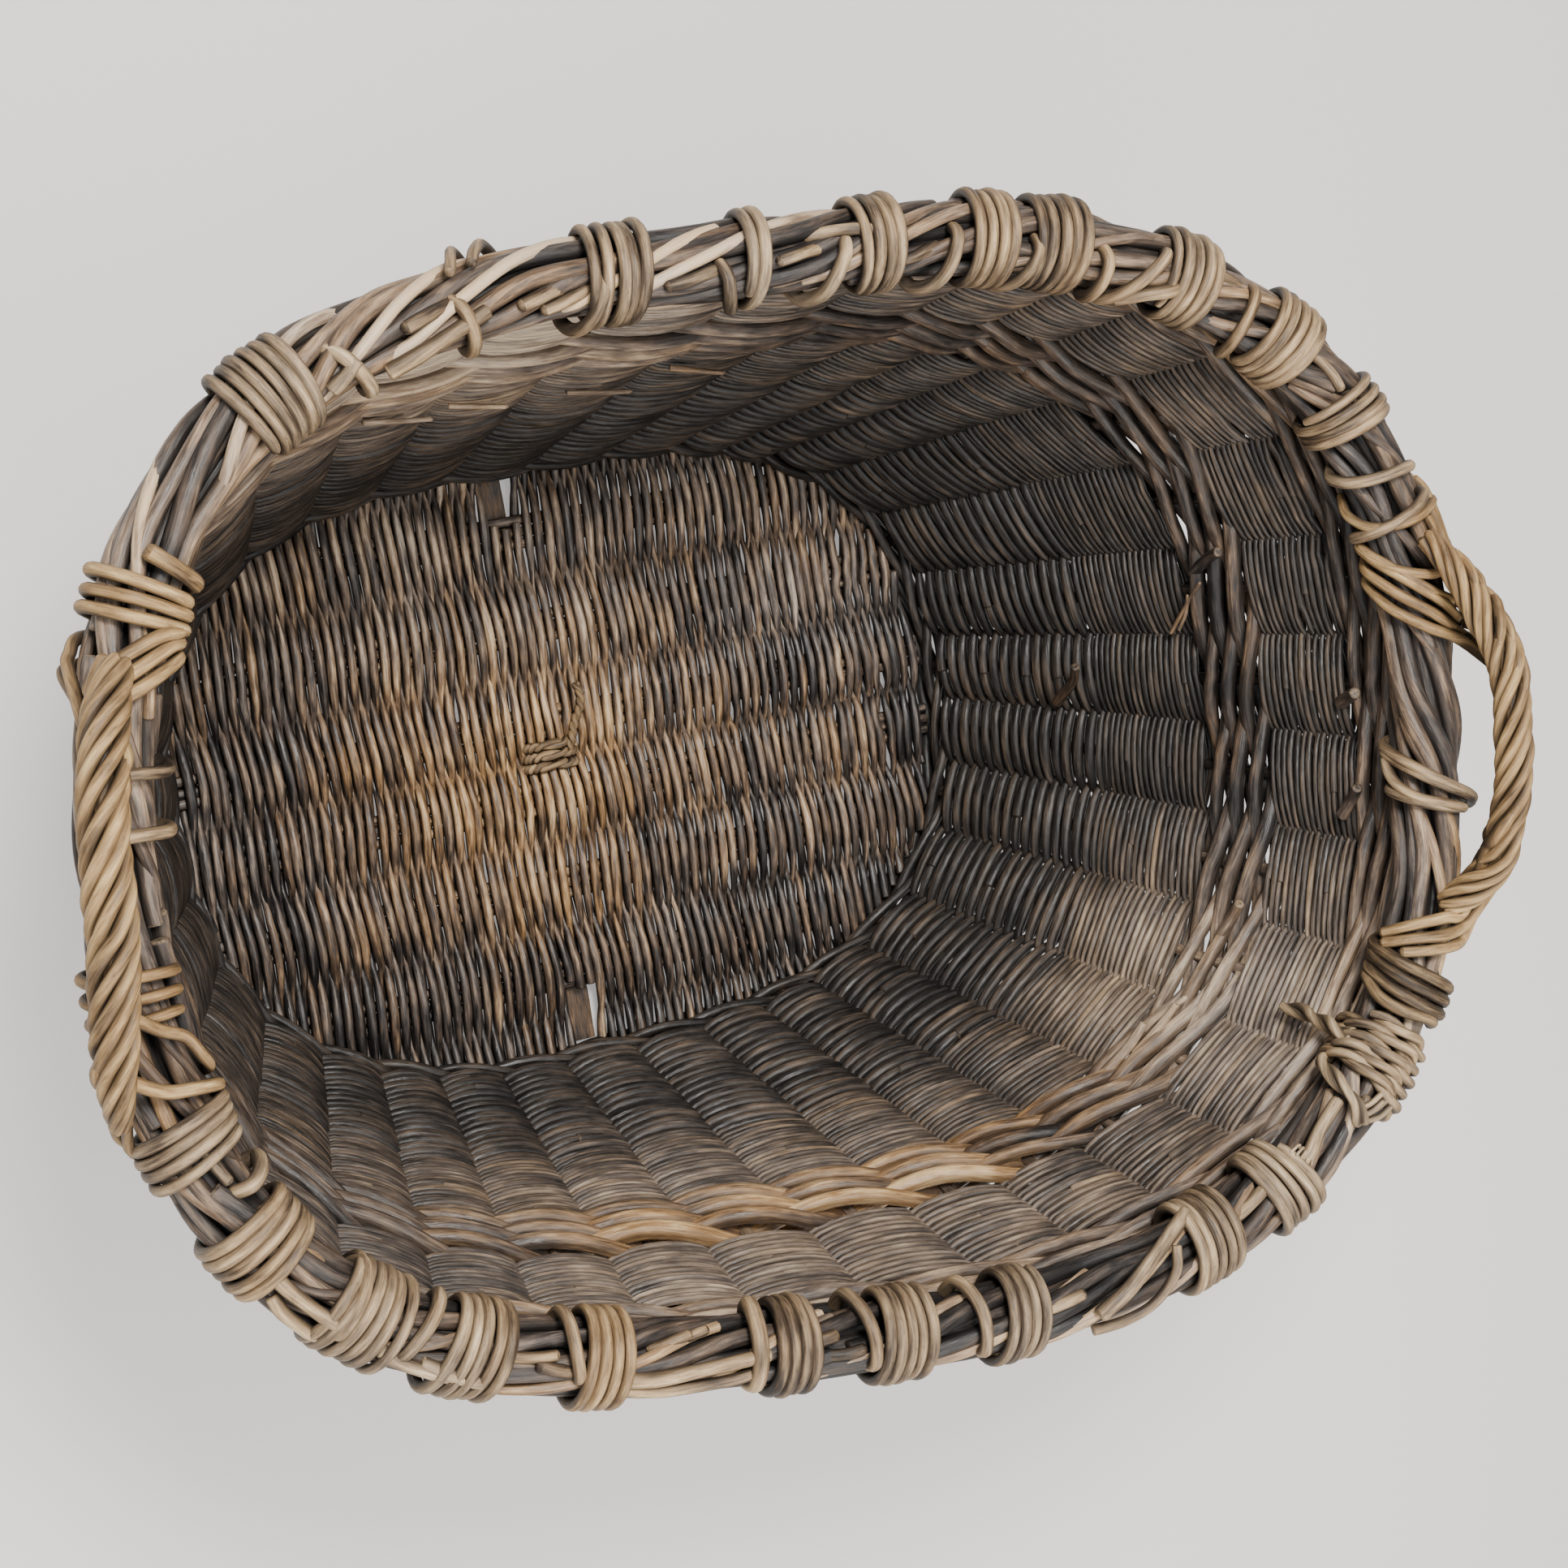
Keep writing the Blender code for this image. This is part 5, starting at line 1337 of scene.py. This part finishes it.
# The rods at the handles' feet. Each goes through (share, angle, distance from the border's
# middle); the first value is the y at which it leaves the rope, or None if it starts free.
# Then: thickness, lightness, how each end is finished.
FEET = {
    ("right", "back"): (
        (0.064, ((0.0246, 42, 0.0310), (0.0313, 85, 0.0292), (0.0393, 128, 0.0290), (0.0462, 168, 0.0278),
                 (0.0495, 205, 0.0225)), 0.0040, 0.02, "old"),
        (0.056, ((0.0212, 44, 0.0305), (0.0281, 97, 0.0290), (0.0357, 143, 0.0285), (0.0425, 186, 0.0272),
                 (0.0450, 215, 0.0225)), 0.0041, 0.00, "old"),
        (0.050, ((0.0205, 60, 0.0300), (0.0250, 108, 0.0288), (0.0314, 153, 0.0284), (0.0385, 200, 0.0265),
                 (0.0400, 222, 0.0225)), 0.0040, -0.03, "old"),
        (0.078, ((0.0300, 60, 0.0315), (0.0350, 100, 0.0300), (0.0430, 140, 0.0290), (0.0490, 180, 0.0275),
                 (0.0510, 210, 0.0225)), 0.0036, 0.02, "old"),
        (0.110, ((0.0392, 40, 0.0310), (0.0386, 90, 0.0300), (0.0425, 139, 0.0292), (0.0488, 183, 0.0275),
                 (0.0505, 212, 0.0225)), 0.0038, 0.05, "old"),
        (0.048, ((0.0270, 34, 0.0350), (0.0340, 32, 0.0320), (0.0420, 28, 0.0302), (0.0500, 24, 0.0292),
                 (0.0570, 12, 0.0285), (0.0620, -8, 0.0262)), 0.0040, -0.04, "old"),
        (0.054, ((0.0290, 20, 0.0355), (0.0350, 20, 0.0325), (0.0430, 14, 0.0305), (0.0510, 8, 0.0292),
                 (0.0560, -8, 0.0285), (0.0590, -40, 0.0262)), 0.0040, -0.06, "old"),
        (0.060, ((0.0310, 44, 0.0345), (0.0370, 42, 0.0318), (0.0440, 42, 0.0300), (0.0510, 38, 0.0290),
                 (0.0580, 30, 0.0275), (0.0610, 24, 0.0245)), 0.0037, -0.02, "old"),
        (0.070, ((0.0340, 30, 0.0350), (0.0400, 26, 0.0325), (0.0460, 20, 0.0305), (0.0530, 2, 0.0290),
                 (0.0550, -40, 0.0268)), 0.0038, 0.00, "old"),
        (0.082, ((0.0370, 50, 0.0325), (0.0410, 50, 0.0305), (0.0455, 48, 0.0292), (0.0510, 44, 0.0280),
                 (0.0540, 40, 0.0250)), 0.0038, -0.05, "old"),
        (0.076, ((0.0350, 62, 0.0322), (0.0390, 66, 0.0304), (0.0440, 66, 0.0292), (0.0490, 62, 0.0280),
                 (0.0520, 58, 0.0250)), 0.0038, -0.08, "old"),
        (0.112, ((0.0450, 26, 0.0300), (0.0490, 4, 0.0290), (0.0520, -30, 0.0286), (0.0530, -70, 0.0270)),
         0.0038, -0.03, "old"),
        (0.110, ((0.0420, 18, 0.0300), (0.0440, -10, 0.0290), (0.0460, -46, 0.0286), (0.0470, -84, 0.0270)),
         0.0036, -0.05, "old"),
        (None, ((0.0556, -60, 0.0262), (0.0552, 0, 0.0292), (0.0549, 37, 0.0292), (0.0537, 96, 0.0290),
                (0.0549, 149, 0.0285), (0.0596, 189, 0.0275), (0.0640, 220, 0.0240)), 0.0037, 0.06, "old"),
    ),
    ("right", "front"): (
        (-0.094, ((0.9510, 64, 0.0320), (0.9484, 94, 0.0306), (0.9446, 133, 0.0296), (0.9410, 170, 0.0288)),
         0.0043, 0.05, "old"),
        (-0.100, ((0.9478, 52, 0.0318), (0.9440, 88, 0.0300), (0.9409, 129, 0.0292), (0.9381, 166, 0.0286)),
         0.0043, 0.03, "old"),
        (-0.106, ((0.9450, 40, 0.0312), (0.9418, 68, 0.0296), (0.9390, 104, 0.0288), (0.9366, 136, 0.0286)),
         0.0042, 0.01, "old"),
        (-0.108, ((0.9465, 14, 0.0305), (0.9446, -16, 0.0292), (0.9430, -50, 0.0282), (0.9420, -86, 0.0268)),
         0.0040, -0.04, "old"),
        (-0.102, ((0.9500, 12, 0.0305), (0.9480, -20, 0.0292), (0.9466, -56, 0.0282), (0.9456, -90, 0.0268)),
         0.0040, -0.04, "old"),
        (None, ((0.9398, 214, 0.0225), (0.9373, 188, 0.0270), (0.9339, 138, 0.0292), (0.9322, 87, 0.0292),
                (0.9318, 46, 0.0290), (0.9314, 20, 0.0284), (0.9312, -10, 0.0264)), 0.0046, -0.27, "old"),
        (None, ((0.9368, 214, 0.0225), (0.9337, 184, 0.0272), (0.9297, 132, 0.0292), (0.9283, 78, 0.0292),
                (0.9284, 44, 0.0290), (0.9282, 18, 0.0284), (0.9280, -12, 0.0264)), 0.0047, -0.30, "old"),
        (None, ((0.9330, 214, 0.0225), (0.9296, 180, 0.0272), (0.9256, 131, 0.0292), (0.9245, 86, 0.0292),
                (0.9249, 50, 0.0290), (0.9250, 22, 0.0284), (0.9250, -10, 0.0264)), 0.0047, -0.26, "old"),
        (None, ((0.9300, 214, 0.0225), (0.9272, 182, 0.0272), (0.9226, 150, 0.0290), (0.9212, 116, 0.0290),
                (0.9220, 78, 0.0288), (0.9222, 56, 0.0280), (0.9222, 40, 0.0255)), 0.0044, -0.12, "old"),
    ),
    ("left", "back"): (
        (0.108, ((0.4590, 50, 0.0312), (0.4534, 74, 0.0302), (0.4466, 112, 0.0294), (0.4440, 150, 0.0282),
                 (0.4430, 195, 0.0235)), 0.0042, 0.06, "old"),
        (0.102, ((0.4611, 60, 0.0312), (0.4554, 90, 0.0302), (0.4481, 131, 0.0294), (0.4462, 165, 0.0282),
                 (0.4455, 205, 0.0235)), 0.0042, 0.08, "old"),
        (0.096, ((0.4634, 70, 0.0312), (0.4576, 105, 0.0302), (0.4505, 158, 0.0292), (0.4490, 190, 0.0270),
                 (0.4485, 215, 0.0235)), 0.0042, 0.04, "old"),
        (0.100, ((0.4560, 8, 0.0286), (0.4530, -4, 0.0276), (0.4500, -22, 0.0266), (0.4480, -60, 0.0250)),
         0.0040, 0.02, "old"),
        (0.094, ((0.4580, -14, 0.0286), (0.4555, -34, 0.0274), (0.4535, -60, 0.0262), (0.4520, -90, 0.0250)),
         0.0038, -0.03, "old"),
        (None, ((0.4371, -80, 0.0250), (0.4360, -9, 0.0276), (0.4361, 72, 0.0290), (0.4364, 135, 0.0288),
                (0.4368, 190, 0.0265), (0.4372, 225, 0.0235)), 0.0041, 0.06, "old"),
        (None, ((0.4410, -80, 0.0250), (0.4402, 7, 0.0278), (0.4397, 78, 0.0290), (0.4396, 150, 0.0288),
                (0.4398, 195, 0.0265), (0.4402, 228, 0.0235)), 0.0040, 0.03, "old"),
        (None, ((0.4446, -80, 0.0250), (0.4436, 5, 0.0278), (0.4436, 79, 0.0290), (0.4431, 155, 0.0288),
                (0.4436, 198, 0.0265), (0.4440, 230, 0.0235)), 0.0041, 0.05, "old"),
        (None, ((0.4297, 79, 0.0275), (0.4306, 106, 0.0286), (0.4315, 150, 0.0282), (0.4320, 188, 0.0262),
                (0.4324, 216, 0.0225)), 0.0050, 0.08, "old"),
    ),
    ("left", "front"): (
        (-0.100, ((0.5500, 8, 0.0330), (0.5530, -6, 0.0300), (0.5556, -26, 0.0276), (0.5566, -60, 0.0256)),
         0.0036, 0.00, "old"),
        (-0.106, ((0.5520, 20, 0.0318), (0.5548, 4, 0.0292), (0.5570, -18, 0.0272), (0.5582, -50, 0.0254)),
         0.0034, -0.03, "old"),
        (-0.066, ((0.5310, 92, 0.0318), (0.5345, 120, 0.0298), (0.5400, 138, 0.0288), (0.5440, 160, 0.0268),
                  (0.5456, 196, 0.0232)), 0.0038, 0.04, "old"),
        (-0.096, ((0.5440, 80, 0.0305), (0.5460, 112, 0.0294), (0.5485, 154, 0.0284), (0.5498, 192, 0.0262),
                  (0.5502, 220, 0.0225)), 0.0042, 0.06, "old"),
        (None, ((0.5192, -70, 0.0256), (0.5192, -8, 0.0284), (0.5200, 40, 0.0286), (0.5194, 92, 0.0282),
                (0.5196, 122, 0.0276), (0.5200, 146, 0.0236)), 0.0035, 0.0, "old"),
        (None, ((0.5236, -70, 0.0256), (0.5236, -4, 0.0284), (0.5246, 40, 0.0286), (0.5240, 90, 0.0282),
                (0.5240, 118, 0.0276), (0.5244, 142, 0.0236)), 0.0035, -0.02, "old"),
        (None, ((0.5284, -70, 0.0256), (0.5284, -2, 0.0284), (0.5292, 40, 0.0286), (0.5286, 86, 0.0282),
                (0.5284, 112, 0.0276), (0.5288, 136, 0.0236)), 0.0035, -0.02, "old"),
    ),
}


def handle(side, label):
    line, share = handle_line(side)
    centre = np.concatenate([RIM.at(share), rim_z(RIM.at(share))[:, None]], 1)
    clear = np.linalg.norm(line - centre, axis=1) > ROLL_RADIUS + 0.0135
    k0, k1 = np.argmax(clear), len(clear) - 1 - np.argmax(clear[::-1])
    path = smooth_line(line[k0:k1 + 1:8], 150)
    # the front ends come down outside the border
    i_ = np.arange(150)
    if side > 0:
        lean = np.clip(1 - i_ / 34.0, 0, 1) ** 1.3
        path[:, 0] += 0.019 * lean
        path[:, 2] -= 0.006 * lean
        tuck = np.clip(1 - i_ / 24.0, 0, 1) ** 1.6
        path[:, 0] -= 0.024 * tuck
        path[:, 2] -= 0.010 * tuck
        back = np.interp(i_, (92, 105, 112, 122, 132, 149), (0, 0.0030, 0.0058, 0.0084, 0.0106, 0.0122))
        path[:, 0] -= back
        path[:, 2] -= 0.15 * back
    else:
        path[:, 0] -= 0.0018
        lean = np.clip(1 - i_ / 65.0, 0, 1) ** 1.15
        path[:, 0] -= 0.022 * lean
        path[:, 2] -= 0.009 * lean ** 2
    t = unit(np.gradient(path, axis=0))
    ref = np.array([side * 1.0, 0, 0.4])
    u = unit(ref - t * (t @ ref)[:, None])
    v = np.cross(t, u)
    d = np.concatenate([[0], np.cumsum(np.linalg.norm(np.diff(path, axis=0), axis=1))])
    turns = d / 0.112 * TAU
    strand_r = 0.00355 if side > 0 else 0.00395
    rope_r = 0.0091 if side > 0 else 0.0102
    # the rope is laid closer where it meets the border
    if side > 0:
        close = (1 - 0.35 * np.clip(1 - d / 0.022, 0, 1)) * (1 - 0.44 * np.clip(1 - (d[-1] - d) / 0.060, 0, 1))
    else:
        close = (1 - 0.62 * np.clip(1 - d / 0.060, 0, 1) ** 1.2) * (1 - 0.30 * np.clip(1 - (d[-1] - d) / 0.030, 0, 1))
    rope = [Rods(10), Rods(10)]
    laid = []
    for j in range(STRANDS):
        ang = turns + TAU * j / STRANDS + 0.10 * wander(rng, d, (5.0, 11.0), 1.0)
        rr = (rope_r + 0.0004 * wander(rng, d, (6.0, 15.0), 1.0)) * close
        p = path + (u * np.cos(ang)[:, None] + v * np.sin(ang)[:, None]) * rr[:, None]
        out = unit(p - path)
        laid.append(p)
        tone, warm = straw_tone(p)
        tone = tone + rng.normal(0.03, 0.035)
        r = strand_r * rng.normal(1, 0.03) * (1 + 0.03 * wander(rng, d, (8.0, 20.0), 1.0)) * close ** 0.4
        rope[j % 2].rod(p, r, rng, ref=out, tone=tone, warm=warm, ends=("old", "old"))
    # a thin core rod down the middle of the rope; its dark tone is painted shade between the strands
    rope[0].rod(path, 0.0060 * close, rng, tone=0.22, warm=0.4, ends=("hide", "hide"))
    rope[0].build("handle_%s_strands_1" % label, MAT_ROPE, "straw_handle", ("handle_%s_rod_1" % label,))
    rope[1].build("handle_%s_strands_2" % label, MAT_ROPE, "straw_handle", ("handle_%s_rod_2" % label,))
    for which in ("front", "back"):
        foot_rods = Rods(10)
        taken = []
        for n_, (leave, points, r0, light, end) in enumerate(FEET[(label, which)]):
            q = [roll(s, math.radians(a), dd)[0] for s, a, dd in points]
            if leave is not None:
                # it goes on from the strand of the rope that already runs toward the border here
                k = int(np.abs(path[:, 1] - leave).argmin())
                step = 4 if which == "front" else -4
                best = None
                for j in range(STRANDS):
                    for i in range(max(k - 12, 10), min(k + 13, 140)):
                        if any(j == j2 and abs(i - i2) < 9 for j2, i2 in taken):
                            continue
                        run = unit(laid[j][i] - laid[j][i + step // 4])
                        aim = unit(q[0] - laid[j][i])
                        score = run @ aim + 0.9 * (unit(laid[j][i] - path[i]) @ aim) - 0.02 * abs(i - k)
                        if best is None or score > best[0]:
                            best = (score, j, i)
                _, j, i = best
                taken.append((j, i))
                lift = unit(laid[j] - path) * 0.0011
                line_ = laid[j] + lift
                q = [laid[j][np.clip(i + 4 * step, 0, 149)], line_[np.clip(i + 3 * step, 0, 149)],
                     line_[np.clip(i + 2 * step, 0, 149)], line_[np.clip(i + step, 0, 149)], line_[i]] + q
            p = smooth_line(q, 84)
            # soften the turns
            for _ in range(3):
                p[1:-1] = 0.25 * p[:-2] + 0.5 * p[1:-1] + 0.25 * p[2:]
            near = RIM.at(np.linspace(points[0][0], points[-1][0], 84))
            c = np.concatenate([near, rim_z(near)[:, None]], 1)
            tone, warm = straw_tone(p)
            taper = np.interp(np.linspace(0, 1, 84), (0, 0.08, 1), (0.72 if leave is not None else 1.0, 1.0, 0.93))
            foot_rods.rod(p, r0 * taper * (1 + 0.03 * np.sin(np.linspace(0, 11, 84) + n_)), rng,
                          ref=unit(unit(p - c) + np.array([0, 0, 0.9])),
                          tone=tone + light + rng.normal(0, 0.02), warm=warm + (0.05 if light > -0.1 else -0.60),
                          ends=("hide" if leave is not None else "old", end))
        foot_rods.build("handle_%s_foot_rods_%s" % (label, which), MAT_ROPE, "straw_handle",
                        ("handle_%s_foot_%s" % (label, which),))


handle(1, "right")
handle(-1, "left")
# ------------------------------------------------------------------ stage
def stage_material():
    m = bpy.data.materials.new("pale_floor")
    m.use_nodes = True
    nt = m.node_tree
    b = nt.nodes["Principled BSDF"]
    b.inputs["Base Color"].default_value = (0.74, 0.72, 0.70, 1)
    b.inputs["Roughness"].default_value = 0.8
    b.inputs["Emission Color"].default_value = (1.0, 0.98, 0.96, 1)
    b.inputs["Emission Strength"].default_value = 0.34
    return m


me = bpy.data.meshes.new("pale_floor")
S = 6.0
me.from_pydata([(-S, -S, -0.0006), (S, -S, -0.0006), (S, S, -0.0006), (-S, S, -0.0006)], [], [(0, 1, 2, 3)])
me.materials.append(stage_material())
ground = bpy.data.objects.new("pale_floor", me)
bpy.context.scene.collection.objects.link(ground)

world = bpy.data.worlds.new("studio")
bpy.context.scene.world = world
world.use_nodes = True
bg = world.node_tree.nodes["Background"]
bg.inputs[0].default_value = (0.95, 0.97, 1.0, 1)
bg.inputs[1].default_value = 0.30


def area(name, loc, target, size, power, colour=(1, 1, 1)):
    data = bpy.data.lights.new(name, "AREA")
    data.shape = "DISK"
    data.size = size
    data.energy = power
    data.color = colour
    ob = bpy.data.objects.new(name, data)
    bpy.context.scene.collection.objects.link(ob)
    ob.location = loc
    ob.rotation_mode = "QUATERNION"
    ob.rotation_quaternion = (Vector(target) - Vector(loc)).to_track_quat("-Z", "Y")
    return ob


area("key", (-0.35, 0.95, 2.6), (0.02, -0.10, 0.10), 0.75, 84, (1.0, 0.97, 0.93))
area("fill", (-1.7, -0.6, 2.1), (0.05, 0.0, 0.2), 1.6, 14, (0.95, 0.97, 1.0))
area("bounce", (0.15, -1.7, 1.7), (0.0, 0.15, 0.35), 1.3, 34, (1.0, 0.95, 0.89))
area("top", (0.4, -0.2, 3.0), (0.0, 0.0, 0.2), 1.8, 24)

# ------------------------------------------------------------------ camera
cam = bpy.data.cameras.new("camera")
cam.sensor_width = 36.0
cam.sensor_fit = "AUTO"
cam.lens = 61.879
cam.clip_start, cam.clip_end = 0.05, 60
eye = bpy.data.objects.new("camera", cam)
bpy.context.scene.collection.objects.link(eye)
turn = Vector((0.07097759986314649, 0.42229675309938386, 0.1051499933578505))
view = Matrix.Rotation(turn.length, 3, turn.normalized()).transposed()
eye.rotation_mode = "QUATERNION"
eye.rotation_quaternion = view.to_quaternion()
eye.location = (-0.68972, 0.15947, 1.97049)
bpy.context.scene.camera = eye
